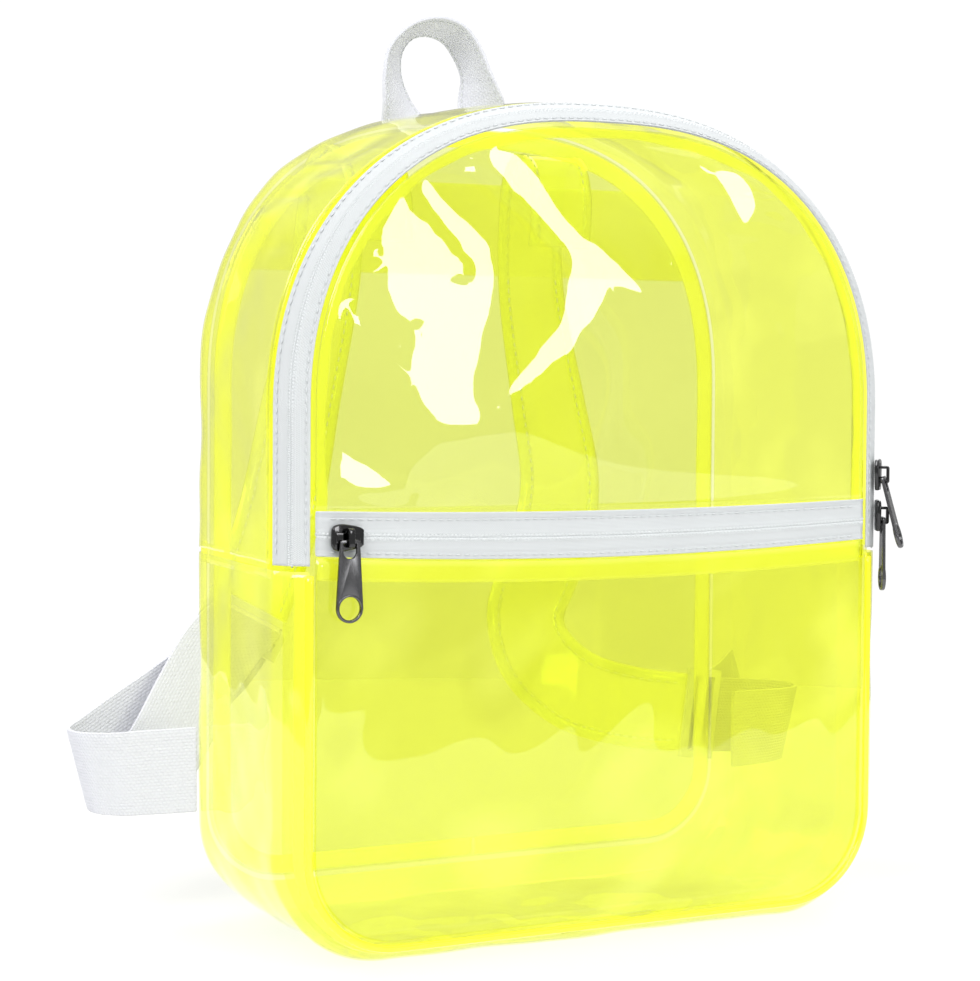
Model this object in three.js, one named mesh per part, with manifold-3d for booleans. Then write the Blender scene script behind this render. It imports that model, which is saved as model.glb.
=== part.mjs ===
// A small clear backpack with an arched main zip, a front pocket, a carry handle and two shoulder straps.
// Millimetres, +Z up. The front faces -Y and the wearer's side +Y. The origin is the middle of the flat base.
import * as THREE from 'three';
import { mergeVertices } from 'three/addons/utils/BufferGeometryUtils.js';
import Module from 'manifold-3d';

const wasm = await Module();
wasm.setup();

// The rows of a table as objects with named columns
function named(columns, rows) {
  return rows.map((row) => Object.fromEntries(columns.map((name, i) => [name, row[i]])));
}

// Driving dimensions of the bag
const WIDTH = 251;
const HEIGHT = 308;
const DEPTH = 105;
const PVC = 1.2;
const GAP = 0.4;
const SEAM_GAP = 1.1;
const FRONT_Y = -DEPTH / 2;
const BACK_Y = DEPTH / 2;
const GUSSET_SPLIT_Z = 0.455 * HEIGHT;

// Zips
const ZIP_TAPE_WALL = 0.9;
const COIL_WALL = 1.5;
const COIL_WIDTH = 2.6;
const POCKET_ZIP_TOP_Z = 0.518 * HEIGHT;
const POCKET_ZIP_BOTTOM_Z = 0.468 * HEIGHT;
const POCKET_ZIP_TOP_SAG = 2;
const POCKET_ZIP_BOTTOM_SAG = 3.5;
const COIL_LIFT = 0.2;
const COIL_DROP = 0.6;

// Sliders and pulls, with the places of the sliders as shares of HEIGHT and WIDTH
const SLIDER_LENGTH = 12;
const SLIDER_WIDTH = 9.4;
const SLIDER_WALL = 1.7;
const BAIL_LENGTH = 6.8;
const BAIL_OPENING = 4.6;
const BAIL_HEIGHT = 3.5;
const BAIL_BAR = 1.1;
const BAIL_WIDTH = 2.2;
const BAIL_CORNER = 1;
const BAIL_ROOT = 0.3;
const PULL_LENGTH = 28.5;
const PULL_TOP_WIDTH = 7.4;
const PULL_END_WIDTH = 10;
const PULL_WALL = 1.2;
const PULL_RIM = 1.3;
const PULL_SLOT_LENGTH = 5.2;
const PULL_CORNER = 1.2;
const SLOT_PLAY = 0.5;
const POCKET_SLIDER_X = -0.41;
const MAIN_SLIDER_THROUGH = 0.51;
const MAIN_SLIDER_LIFT = 0.5;
const MAIN_SLIDER_COLUMNS = ['end', 'z', 'outAngle', 'hang'];
const MAIN_SLIDERS = named(MAIN_SLIDER_COLUMNS, [
  ['upper', 0.549, 45, 15],
  ['lower', 0.497, 62, 0],
]);

// Handle, straps and webbing. The handle rows are shares of its half span, height and width, a turn in
// degrees, and how much higher its front edge lies than its middle as a share of half the width.
const HANDLE_X = -14;
const HANDLE_WIDTH = 20;
const HANDLE_WALL = 2;
const HANDLE_HALF_SPAN = 18.5;
const HANDLE_HEIGHT = 36;
const HANDLE_THROUGH = 2.4;
const HANDLE_COLUMNS = ['span', 'rise', 'back', 'turn', 'tilt'];
const HANDLE_ROWS = named(HANDLE_COLUMNS, [
  [-1.08, 0.00, -0.15, 12, 0],
  [-1.18, 0.20, -0.10, 34, 0],
  [-1.24, 0.48, 0.00, 46, 0.02],
  [-1.12, 0.76, 0.10, 52, 0.10],
  [-0.72, 0.95, 0.15, 66, 0.20],
  [-0.22, 1.00, 0.15, 80, 0.24],
  [0.26, 0.93, 0.15, 90, 0.20],
  [0.56, 0.74, 0.10, 96, 0.10],
  [0.74, 0.48, 0.00, 100, 0],
  [0.80, 0.20, -0.10, 128, 0],
  [0.84, 0.00, -0.15, 163, 0],
]);
const STRAP_WALL = 1.8;
const WEBBING_WIDTH = 32;
const WEBBING_WALL = 1.6;
const SLIDE_LENGTH = 16;
const SLIDE_WIDTH = 38;
const SLIDE_WALL = 2.6;
const SLIDE_BAR = 3;

// Panels
const YOKE_TOP_Z = 0.915 * HEIGHT;
const YOKE_BOTTOM_Z = 0.797 * HEIGHT;
const YOKE_INSET = 0.5;
const CROWN_CUT = 0.6;
const WINDOW_BULGE = 2;
const POCKET_BULGE = 4;
const DIVIDER_BULGE = -2;
const DIVIDER_THROUGH = 0.85;
const DIVIDER_INSET = 2.4;
const PIPING_WALL = 0.8;
const ALLOWANCE_WIDTH = 8;
const ALLOWANCE_MARGIN = 1.2;
const ALLOWANCE_WALL = 1;

// Half the gap between the gussets and the piping's distance from its ends, as places round the outline
const SPLIT_GAP = 0.002;
const PIPING_END_GAP = 0.004;

// Outline of the bag at four places through its depth, as shares of DEPTH, WIDTH and HEIGHT
const STATION_COLUMNS = ['y', 'half', 'base', 'top', 'shoulder', 'corner', 'sidePower', 'crownPower'];
const STATIONS = named(STATION_COLUMNS, [
  [0.000, 0.458, 0.026, 0.962, 0.635, 0.105, 2.55, 2.15],
  [0.100, 0.500, 0.000, 0.988, 0.630, 0.140, 2.40, 2.10],
  [0.930, 0.474, 0.000, 1.000, 0.650, 0.125, 2.60, 2.20],
  [1.000, 0.452, 0.036, 0.990, 0.650, 0.100, 2.65, 2.25],
]);
const CORNER_ROUNDING = 0.55;

// Shares of the half outline, from the middle of the base round to the crown
const OUTLINE_BREAKS = { base: 0.2, corner: 0.3, split: 0.45, shoulder: 0.62, crown: 1 };

// Soft dents and bulges, as shares of the half width and height, with the depth in millimetres
const DENT_COLUMNS = ['panel', 'x', 'z', 'reachX', 'reachZ', 'depth'];
const DENTS = named(DENT_COLUMNS, [
  ['window', -0.45, 0.78, 0.22, 0.10, 2.4],
  ['window', -0.10, 0.72, 0.12, 0.16, -1.6],
  ['window', 0.45, 0.80, 0.20, 0.12, 1.4],
  ['window', 0.10, 0.60, 0.40, 0.06, -1.2],
  ['pocket', -0.35, 0.22, 0.30, 0.10, -1.8],
  ['pocket', 0.25, 0.30, 0.16, 0.14, 1.6],
  ['pocket', 0.60, 0.18, 0.20, 0.10, -1.6],
  ['pocket', -0.70, 0.36, 0.14, 0.16, 1.2],
  ['back', 0.00, 0.45, 0.60, 0.25, -2.0],
  ['back', 0.50, 0.25, 0.25, 0.12, 1.5],
]);

// Folds of the gusset, by place round the outline (0 base, 1 crown, 2 base again) and through the depth
const FOLD_COLUMNS = ['place', 'through', 'reachPlace', 'reachThrough', 'depth'];
const FOLDS = named(FOLD_COLUMNS, [
  [0.52, 1.45, 0.06, 0.30, -1.8],
  [0.70, 1.60, 0.03, 0.35, -2.2],
  [0.78, 1.45, 0.02, 0.30, 1.5],
  [0.86, 1.60, 0.03, 0.35, -2.0],
  [1.00, 1.35, 0.07, 0.28, 1.4],
  [1.14, 1.55, 0.03, 0.35, -2.0],
  [1.24, 1.45, 0.03, 0.30, 1.4],
  [1.32, 1.60, 0.04, 0.35, -2.0],
  [1.48, 1.45, 0.06, 0.30, -1.8],
  [0.38, 1.55, 0.04, 0.30, 2.2],
  [1.62, 1.55, 0.04, 0.30, 2.2],
]);

// Ribbon middle lines as shares of WIDTH out from the middle, of DEPTH behind the back panel and of HEIGHT
// up, half the ribbon's width as a share of WIDTH, and the lean of its width from upright in degrees
const WEBBING_HALF = WEBBING_WIDTH / 2 / WIDTH;
const RIBBON_COLUMNS = ['x', 'back', 'z', 'half', 'lean'];
const STRAP_TOP = [
  [0.159, 0.029, 0.838, 0.056, 90],
  [0.163, 0.030, 0.896, 0.056, 90],
  [0.167, 0.086, 0.942, 0.056, 90],
  [0.171, 0.200, 0.961, 0.058, 90],
  [0.179, 0.314, 0.938, 0.060, 90],
  [0.183, 0.371, 0.870, 0.060, 90],
  [0.191, 0.390, 0.779, 0.062, 90],
];
const STRAP_ROWS = {
  left: named(RIBBON_COLUMNS, [
    ...STRAP_TOP,
    [0.227, 0.400, 0.635, 0.068, 88],
    [0.267, 0.381, 0.487, 0.072, 82],
    [0.311, 0.314, 0.409, 0.070, 70],
    [0.335, 0.262, 0.372, 0.066, 62],
  ]),
  right: named(RIBBON_COLUMNS, [
    ...STRAP_TOP,
    [0.226, 0.398, 0.634, 0.070, 86],
    [0.249, 0.392, 0.523, 0.076, 90],
    [0.235, 0.378, 0.454, 0.078, 106],
    [0.201, 0.360, 0.393, 0.076, 112],
    [0.172, 0.335, 0.339, 0.074, 97],
    [0.185, 0.300, 0.285, 0.072, 62],
    [0.248, 0.250, 0.236, 0.070, 31],
    [0.343, 0.180, 0.211, 0.068, 12],
    [0.431, 0.125, 0.202, 0.066, 7],
  ]),
};
const WEBBING_ROWS = {
  left: named(RIBBON_COLUMNS, [
    [0.483, -0.067, 0.185, WEBBING_HALF, 0],
    [0.538, -0.010, 0.182, WEBBING_HALF, 4],
    [0.594, 0.038, 0.180, WEBBING_HALF, 10],
    [0.629, 0.086, 0.182, WEBBING_HALF, 13],
    [0.633, 0.143, 0.185, WEBBING_HALF, 15],
    [0.602, 0.190, 0.195, WEBBING_HALF, 20],
    [0.534, 0.229, 0.224, WEBBING_HALF, 30],
    [0.458, 0.248, 0.260, WEBBING_HALF, 40],
    [0.402, 0.260, 0.292, WEBBING_HALF, 52],
  ]),
  right: named(RIBBON_COLUMNS, [
    [0.483, -0.067, 0.185, WEBBING_HALF, 0],
    [0.538, -0.010, 0.182, WEBBING_HALF, 4],
    [0.594, 0.038, 0.180, WEBBING_HALF, 10],
    [0.638, 0.095, 0.180, WEBBING_HALF, 14],
    [0.643, 0.145, 0.182, WEBBING_HALF, 14],
    [0.608, 0.181, 0.186, WEBBING_HALF, 12],
    [0.556, 0.171, 0.190, WEBBING_HALF, 10],
  ]),
};
const TAIL_ROWS = {
  left: named(RIBBON_COLUMNS, [
    [0.402, 0.195, 0.317, WEBBING_HALF, 54],
    [0.450, 0.162, 0.263, WEBBING_HALF, 54],
    [0.494, 0.105, 0.214, WEBBING_HALF, 54],
    [0.520, 0.086, 0.185, WEBBING_HALF, 54],
  ]),
  right: named(RIBBON_COLUMNS, [
    [0.500, 0.190, 0.205, WEBBING_HALF, 0],
    [0.545, 0.245, 0.213, WEBBING_HALF, -8],
    [0.590, 0.280, 0.230, WEBBING_HALF, -18],
  ]),
};
// Side of each strap, and the side of its slide on which the loose tail lies: 1 towards the bag
const STRAP_SIDES = named(['name', 'side', 'tailSide'], [
  ['left', -1, 1],
  ['right', 1, -1],
]);

// Colours
const clearYellow = () => new THREE.MeshStandardMaterial({ color: 0xe9f54f, roughness: 0.08, metalness: 0 });
const whiteTape = () => new THREE.MeshStandardMaterial({ color: 0xe4e8ea, roughness: 0.85, metalness: 0 });
const whiteWebbing = () => new THREE.MeshStandardMaterial({ color: 0xe2e6e8, roughness: 0.9, metalness: 0 });
const whitePlastic = () => new THREE.MeshStandardMaterial({ color: 0xf0f2f2, roughness: 0.4, metalness: 0 });
const gunmetal = () => new THREE.MeshStandardMaterial({ color: 0x4b4d50, roughness: 0.3, metalness: 1 });

const backpack = new THREE.Group();

function add(name, geometry, material) {
  const mesh = new THREE.Mesh(geometry, material);
  mesh.name = name;
  backpack.add(mesh);
  return mesh;
}

const mix = (a, b, share) => a + (b - a) * share;
const bell = (u) => Math.exp(-u * u);

// Outline sizes at a place through the depth: 0 front seam, 1 outer front corner, 2 rear corner, 3 back seam
function station(through) {
  const i = Math.min(Math.max(Math.floor(through), 0), 2);
  const t = through - i;
  const early = mix(t, Math.sin((t * Math.PI) / 2), CORNER_ROUNDING);
  const late = mix(t, 1 - Math.cos((t * Math.PI) / 2), CORNER_ROUNDING);
  const across = [early, t, late][i];
  const along = [late, t, early][i];
  const pick = (name, share) => mix(STATIONS[i][name], STATIONS[i + 1][name], share);
  return {
    y: FRONT_Y + DEPTH * pick('y', along),
    half: WIDTH * pick('half', across),
    base: HEIGHT * pick('base', across),
    top: HEIGHT * pick('top', across),
    shoulder: HEIGHT * pick('shoulder', across),
    corner: HEIGHT * pick('corner', across),
    sidePower: pick('sidePower', across),
    crownPower: pick('crownPower', across),
  };
}

function inset(s, by) {
  return { ...s, half: s.half - by, base: s.base + by, top: s.top - by, corner: s.corner - by };
}

// A point of an outline: 0 middle of the base, 1 crown on the +X side, 2 the base again on the -X side
function outlinePoint(s, place) {
  const wrapped = ((place % 2) + 2) % 2;
  const side = wrapped > 1 ? -1 : 1;
  const q = wrapped > 1 ? 2 - wrapped : wrapped;
  const { base, corner, split, shoulder, crown } = OUTLINE_BREAKS;
  let x = s.half;
  let z;
  if (q <= base) {
    x = ((s.half - s.corner) * q) / base;
    z = s.base;
  } else if (q <= corner) {
    const turn = ((q - base) / (corner - base)) * (Math.PI / 2);
    x = s.half - s.corner + s.corner * Math.sin(turn);
    z = s.base + s.corner * (1 - Math.cos(turn));
  } else if (q <= split) {
    z = mix(s.base + s.corner, GUSSET_SPLIT_Z, (q - corner) / (split - corner));
  } else if (q <= shoulder) {
    z = mix(GUSSET_SPLIT_Z, s.shoulder, (q - split) / (shoulder - split));
  } else {
    const turn = ((q - shoulder) / (crown - shoulder)) * (Math.PI / 2);
    x = s.half * Math.cos(turn) ** (2 / s.sidePower);
    z = s.shoulder + (s.top - s.shoulder) * Math.sin(turn) ** (2 / s.crownPower);
  }
  return new THREE.Vector2(side * x, z);
}

function formPoint(place, through) {
  const s = station(through);
  const p = outlinePoint(s, place);
  return new THREE.Vector3(p.x, s.y, p.y);
}

// The form's outward normal by small steps each way
function formNormal(place, through) {
  const step = 0.004;
  const low = Math.max(through - step, 0);
  const high = Math.min(through + step, 3);
  const round = formPoint(place + step, through).sub(formPoint(place - step, through));
  const inward = formPoint(place, high).sub(formPoint(place, low));
  return inward.cross(round).normalize();
}

function foldDepth(place, through) {
  return FOLDS.reduce((sum, f) => sum + f.depth * bell((place - f.place) / f.reachPlace)
    * bell((through - f.through) / f.reachThrough), 0);
}

// A closed wall between two grids of points, outer(i, j) and inner(i, j)
function wall(columns, rows, outer, inner) {
  const positions = [];
  const index = [];
  const at = (layer, i, j) => layer * (columns + 1) * (rows + 1) + j * (columns + 1) + i;
  for (const layer of [outer, inner]) {
    for (let j = 0; j <= rows; j += 1) {
      for (let i = 0; i <= columns; i += 1) positions.push(...layer(i / columns, j / rows).toArray());
    }
  }
  const quad = (a, b, c, d) => index.push(a, b, c, a, c, d);
  for (let j = 0; j < rows; j += 1) {
    for (let i = 0; i < columns; i += 1) {
      quad(at(0, i, j), at(0, i + 1, j), at(0, i + 1, j + 1), at(0, i, j + 1));
      quad(at(1, i, j), at(1, i, j + 1), at(1, i + 1, j + 1), at(1, i + 1, j));
    }
    quad(at(0, 0, j), at(0, 0, j + 1), at(1, 0, j + 1), at(1, 0, j));
    quad(at(0, columns, j), at(1, columns, j), at(1, columns, j + 1), at(0, columns, j + 1));
  }
  for (let i = 0; i < columns; i += 1) {
    quad(at(0, i, 0), at(1, i, 0), at(1, i + 1, 0), at(0, i + 1, 0));
    quad(at(0, i, rows), at(0, i + 1, rows), at(1, i + 1, rows), at(1, i, rows));
  }
  const geometry = new THREE.BufferGeometry();
  geometry.setAttribute('position', new THREE.Float32BufferAttribute(positions, 3));
  geometry.setIndex(index);
  geometry.computeVertexNormals();
  return geometry;
}

// A stretch of the bag's form as a wall; raised lifts it off the form
function formWall({ from, to, columns, front, back, rows, raised = 0, thick = PVC, folded = false }) {
  const point = (below) => (u, v) => {
    const place = mix(from, to, u);
    const through = mix(back, front, v);
    const fold = folded ? foldDepth(place, through) : 0;
    return formPoint(place, through).addScaledVector(formNormal(place, through), raised + fold - below);
  };
  return wall(columns, rows, point(0), point(thick));
}

// Half width of an outline at a height
function halfWidthAt(s, z) {
  if (z < s.base + s.corner) {
    const drop = s.base + s.corner - z;
    return s.half - s.corner + Math.sqrt(Math.max(s.corner ** 2 - drop ** 2, 0));
  }
  if (z <= s.shoulder) return s.half;
  const rise = (z - s.shoulder) / (s.top - s.shoulder);
  return s.half * Math.max(1 - rise ** s.crownPower, 0) ** (1 / s.sidePower);
}

// Height of an outline's crown at a distance from the middle
function crownHeightAt(s, x) {
  const share = Math.min(Math.abs(x) / s.half, 1);
  return s.shoulder + (s.top - s.shoulder) * (1 - share ** s.sidePower) ** (1 / s.crownPower);
}

function dentDepth(panel, x, z) {
  return DENTS.filter((d) => d.panel === panel).reduce((sum, d) => sum + d.depth
    * bell((x / (WIDTH / 2) - d.x) / d.reachX) * bell((z / HEIGHT - d.z) / d.reachZ), 0);
}

// Rows crowd together towards the curved end of a panel
const easeTop = (v) => 1 - (1 - v) ** 1.7;
const easeBottom = (v) => v ** 1.5;
const easeBoth = (v) => v - 0.1 * Math.sin(2 * Math.PI * v);

// An upright panel inside an outline; facing -1 looks to the front, +1 to the back
function panel({ outline, y, low, high, columns, rows, facing, thick = PVC, bulge = 0, dents = '',
  sagLow = 0, sagHigh = 0, ease = (v) => v }) {
  const point = (below) => (u, v) => {
    const row = mix(low, high, ease(v));
    const across = facing > 0 ? 1 - 2 * u : 2 * u - 1;
    const x = across * halfWidthAt(outline, row);
    const share = (row - low) / (high - low);
    const drop = mix(sagLow, sagHigh, share) * (1 - across * across);
    const edge = (1 - across * across) * Math.sin(Math.PI * share);
    const soft = edge * (bulge - (dents ? dentDepth(dents, x, row) : 0));
    return new THREE.Vector3(x, y + facing * (soft - below), row - drop);
  };
  return wall(columns, rows, point(0), point(thick));
}

// A flat strip whose two edges follow smooth curves, thickened to both sides
function strip(leftPoints, rightPoints, columns, thick) {
  const left = new THREE.CatmullRomCurve3(leftPoints, false, 'centripetal');
  const right = new THREE.CatmullRomCurve3(rightPoints, false, 'centripetal');
  const side = (sign) => (u, v) => {
    const a = left.getPoint(u);
    const b = right.getPoint(u);
    const ahead = Math.min(u + 0.004, 1);
    const behind = Math.max(u - 0.004, 0);
    const leftRun = left.getPoint(ahead).sub(left.getPoint(behind));
    const rightRun = right.getPoint(ahead).sub(right.getPoint(behind));
    const normal = leftRun.add(rightRun).cross(b.clone().sub(a)).normalize();
    return a.lerp(b, v).addScaledVector(normal, (sign * thick) / 2);
  };
  return wall(columns, 1, side(1), side(-1));
}

function toSolid(geometry) {
  const bare = geometry.clone();
  bare.deleteAttribute('normal');
  bare.deleteAttribute('uv');
  const merged = mergeVertices(bare, 1e-4);
  return new wasm.Manifold(new wasm.Mesh({
    numProp: 3,
    vertProperties: new Float32Array(merged.attributes.position.array),
    triVerts: new Uint32Array(merged.index.array),
  }));
}

function toGeometry(solid) {
  const mesh = solid.getMesh();
  const geometry = new THREE.BufferGeometry();
  geometry.setAttribute('position', new THREE.Float32BufferAttribute(mesh.vertProperties, 3));
  geometry.setIndex(Array.from(mesh.triVerts));
  geometry.computeVertexNormals();
  return geometry;
}

// PVC panels
function addPanels() {
  const frontSeam = inset(station(0), SEAM_GAP);
  const backSeam = inset(station(3), SEAM_GAP);
  add('front_window', panel({
    outline: frontSeam, y: FRONT_Y, low: POCKET_ZIP_TOP_Z + GAP, high: frontSeam.top - CROWN_CUT,
    columns: 16, rows: 15, facing: -1, bulge: WINDOW_BULGE, dents: 'window', sagLow: POCKET_ZIP_TOP_SAG,
    ease: easeTop,
  }), clearYellow());
  add('pocket_panel', panel({
    outline: frontSeam, y: FRONT_Y, low: frontSeam.base, high: POCKET_ZIP_BOTTOM_Z - GAP,
    columns: 16, rows: 12, facing: -1, bulge: POCKET_BULGE, dents: 'pocket', sagHigh: POCKET_ZIP_BOTTOM_SAG,
    ease: easeBottom,
  }), clearYellow());
  const behind = station(DIVIDER_THROUGH);
  add('pocket_divider', panel({
    outline: inset(behind, DIVIDER_INSET), y: behind.y, low: behind.base + DIVIDER_INSET,
    high: POCKET_ZIP_TOP_Z, columns: 12, rows: 10, facing: -1, bulge: DIVIDER_BULGE, ease: easeBottom,
  }), clearYellow());
  add('back_panel', panel({
    outline: backSeam, y: BACK_Y, low: backSeam.base, high: backSeam.top - CROWN_CUT, columns: 14, rows: 20,
    facing: 1, dents: 'back', ease: easeBoth,
  }), clearYellow());
  add('back_yoke', panel({
    outline: inset(backSeam, YOKE_INSET), y: BACK_Y + PVC + GAP, low: YOKE_BOTTOM_Z, high: YOKE_TOP_Z,
    columns: 14, rows: 5, facing: 1,
  }), clearYellow());
  const { split } = OUTLINE_BREAKS;
  add('gusset_lower', formWall({
    from: SPLIT_GAP - split, to: split - SPLIT_GAP, columns: 40, front: 0.06, back: 2.94, rows: 8,
    folded: true,
  }), clearYellow());
  add('gusset_upper', formWall({
    from: split + SPLIT_GAP, to: 2 - split - SPLIT_GAP, columns: 44, front: 1.05, back: 2.94, rows: 6,
    folded: true,
  }), clearYellow());
  add('front_seam_piping', formWall({
    from: PIPING_END_GAP - split, to: split - PIPING_END_GAP, columns: 34, front: -0.001, back: 0.16, rows: 1,
    raised: GAP + PIPING_WALL, thick: PIPING_WALL,
  }), clearYellow());
  add('back_seam_allowance', seamAllowance(), clearYellow());
}

// The turned-in edge of the back seam, a flat band inside the back panel
function seamAllowance() {
  const seam = inset(station(3), SEAM_GAP);
  const y = BACK_Y - PVC - 2 * GAP;
  const point = (below) => (u, v) => {
    const edge = inset(seam, mix(ALLOWANCE_WIDTH, ALLOWANCE_MARGIN, v));
    const p = outlinePoint(edge, mix(SPLIT_GAP, 2 - SPLIT_GAP, u));
    return new THREE.Vector3(p.x, y - below, p.y);
  };
  return wall(60, 1, point(0), point(ALLOWANCE_WALL));
}

// Zip tapes and coils
function addZips() {
  const { split } = OUTLINE_BREAKS;
  const arch = { from: split + SPLIT_GAP, to: 2 - split - SPLIT_GAP, columns: 44, rows: 1 };
  const tape = { ...arch, thick: ZIP_TAPE_WALL };
  const coil = { ...arch, thick: COIL_WALL, raised: COIL_LIFT };
  add('main_zip_inner_tape', formWall({ ...tape, front: 0.07, back: 0.42 }), whiteTape());
  add('main_zip_coil', formWall({ ...coil, front: 0.45, back: 0.57 }), whiteTape());
  add('main_zip_outer_tape', formWall({ ...tape, front: 0.6, back: 0.99 }), whiteTape());
  const outline = inset(station(0), SEAM_GAP);
  const middle = (POCKET_ZIP_TOP_Z + POCKET_ZIP_BOTTOM_Z) / 2 - COIL_DROP;
  const middleSag = (POCKET_ZIP_TOP_SAG + POCKET_ZIP_BOTTOM_SAG) / 2;
  const across = { outline, y: FRONT_Y, columns: 16, rows: 1, facing: -1 };
  add('pocket_zip_upper_tape', panel({
    ...across, low: middle + COIL_WIDTH / 2 + GAP, high: POCKET_ZIP_TOP_Z, thick: ZIP_TAPE_WALL,
    sagLow: middleSag, sagHigh: POCKET_ZIP_TOP_SAG,
  }), whiteTape());
  add('pocket_zip_coil', panel({
    ...across, y: FRONT_Y - COIL_LIFT, low: middle - COIL_WIDTH / 2, high: middle + COIL_WIDTH / 2,
    thick: COIL_WALL, sagLow: middleSag, sagHigh: middleSag,
  }), whiteTape());
  add('pocket_zip_lower_tape', panel({
    ...across, low: POCKET_ZIP_BOTTOM_Z, high: middle - COIL_WIDTH / 2 - GAP, thick: ZIP_TAPE_WALL,
    sagLow: POCKET_ZIP_BOTTOM_SAG, sagHigh: middleSag,
  }), whiteTape());
}

// Slider body: a waisted plate with a bail arched over it. Local x across, y up the pull, z out of the tape.
function sliderGeometry(plateTurn) {
  const half = SLIDER_LENGTH / 2;
  const wide = SLIDER_WIDTH / 2;
  const plate = new THREE.Shape();
  plate.moveTo(-wide * 0.55, -half);
  plate.lineTo(wide * 0.55, -half);
  plate.quadraticCurveTo(wide * 0.95, -half * 0.4, wide, half * 0.3);
  plate.quadraticCurveTo(wide, half, wide * 0.35, half);
  plate.lineTo(-wide * 0.35, half);
  plate.quadraticCurveTo(-wide, half, -wide, half * 0.3);
  plate.quadraticCurveTo(-wide * 0.95, -half * 0.4, -wide * 0.55, -half);
  const flat = { bevelEnabled: false };
  const body = new THREE.ExtrudeGeometry(plate, { ...flat, depth: SLIDER_WALL, curveSegments: 4 });
  body.rotateZ(plateTurn);
  const foot = SLIDER_WALL - BAIL_ROOT;
  const peak = SLIDER_WALL + BAIL_HEIGHT;
  const side = BAIL_LENGTH / 2;
  const arch = new THREE.Shape();
  arch.moveTo(-side, foot);
  arch.lineTo(side, foot);
  arch.lineTo(side, peak - BAIL_CORNER);
  arch.quadraticCurveTo(side, peak, side - BAIL_CORNER, peak);
  arch.lineTo(BAIL_CORNER - side, peak);
  arch.quadraticCurveTo(-side, peak, -side, peak - BAIL_CORNER);
  const hole = new THREE.Path();
  hole.moveTo(-BAIL_OPENING / 2, SLIDER_WALL);
  hole.lineTo(-BAIL_OPENING / 2, peak - BAIL_BAR);
  hole.lineTo(BAIL_OPENING / 2, peak - BAIL_BAR);
  hole.lineTo(BAIL_OPENING / 2, SLIDER_WALL);
  arch.holes.push(hole);
  const bail = new THREE.ExtrudeGeometry(arch, { ...flat, depth: BAIL_WIDTH, curveSegments: 3 });
  bail.translate(0, 0, -BAIL_WIDTH / 2);
  bail.rotateX(Math.PI / 2);
  bail.rotateZ(Math.PI / 2);
  return toGeometry(toSolid(body).add(toSolid(bail)));
}

// Pull tab: a tapered plate with a slot for the bail and a round end hole. The origin is the middle of its
// top rim.
function pullGeometry() {
  const top = PULL_RIM / 2;
  const endRadius = PULL_END_WIDTH / 2;
  const endY = top - PULL_LENGTH + endRadius;
  const half = PULL_TOP_WIDTH / 2;
  const tab = new THREE.Shape();
  const cornerX = half - PULL_CORNER;
  tab.moveTo(-cornerX, top);
  tab.absarc(-cornerX, top - PULL_CORNER, PULL_CORNER, Math.PI / 2, Math.PI, false);
  tab.absarc(0, endY, endRadius, Math.PI, 2 * Math.PI, false);
  tab.absarc(cornerX, top - PULL_CORNER, PULL_CORNER, 0, Math.PI / 2, false);
  const slot = new THREE.Path();
  const slotHalf = BAIL_WIDTH / 2 + GAP + SLOT_PLAY;
  const slotTop = -PULL_RIM / 2;
  const slotEnd = slotTop - PULL_SLOT_LENGTH + slotHalf;
  slot.moveTo(-slotHalf, slotTop);
  slot.lineTo(slotHalf, slotTop);
  slot.lineTo(slotHalf, slotEnd);
  slot.absarc(0, slotEnd, slotHalf, 0, Math.PI, true);
  const hole = new THREE.Path();
  hole.absarc(0, endY, endRadius - PULL_RIM, 0, 2 * Math.PI, true);
  tab.holes.push(slot, hole);
  const plate = { depth: PULL_WALL, bevelEnabled: false, curveSegments: 7 };
  return new THREE.ExtrudeGeometry(tab, plate).translate(0, 0, -PULL_WALL / 2);
}

// A slider with its pull hanging from the bail. out points away from the tape, hang is the tilt from straight
// down.
function addSlider(sliderName, pullName, at, outAngle, plateTurn, hang) {
  const group = new THREE.Group();
  const out = new THREE.Vector3(Math.sin(outAngle), -Math.cos(outAngle), 0);
  const up = new THREE.Vector3(0, 0, 1);
  const across = up.clone().cross(out);
  group.quaternion.setFromRotationMatrix(new THREE.Matrix4().makeBasis(across, up, out));
  group.position.copy(at);
  const slider = new THREE.Mesh(sliderGeometry(plateTurn), gunmetal());
  slider.name = sliderName;
  const pull = new THREE.Mesh(pullGeometry(), gunmetal());
  pull.name = pullName;
  pull.position.set(0, -BAIL_OPENING / 2 + PULL_RIM / 2 + GAP, SLIDER_WALL + (BAIL_HEIGHT - BAIL_BAR) / 2);
  pull.rotation.x = -hang;
  group.add(slider, pull);
  backpack.add(group);
}

const toRadians = THREE.MathUtils.degToRad;

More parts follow.
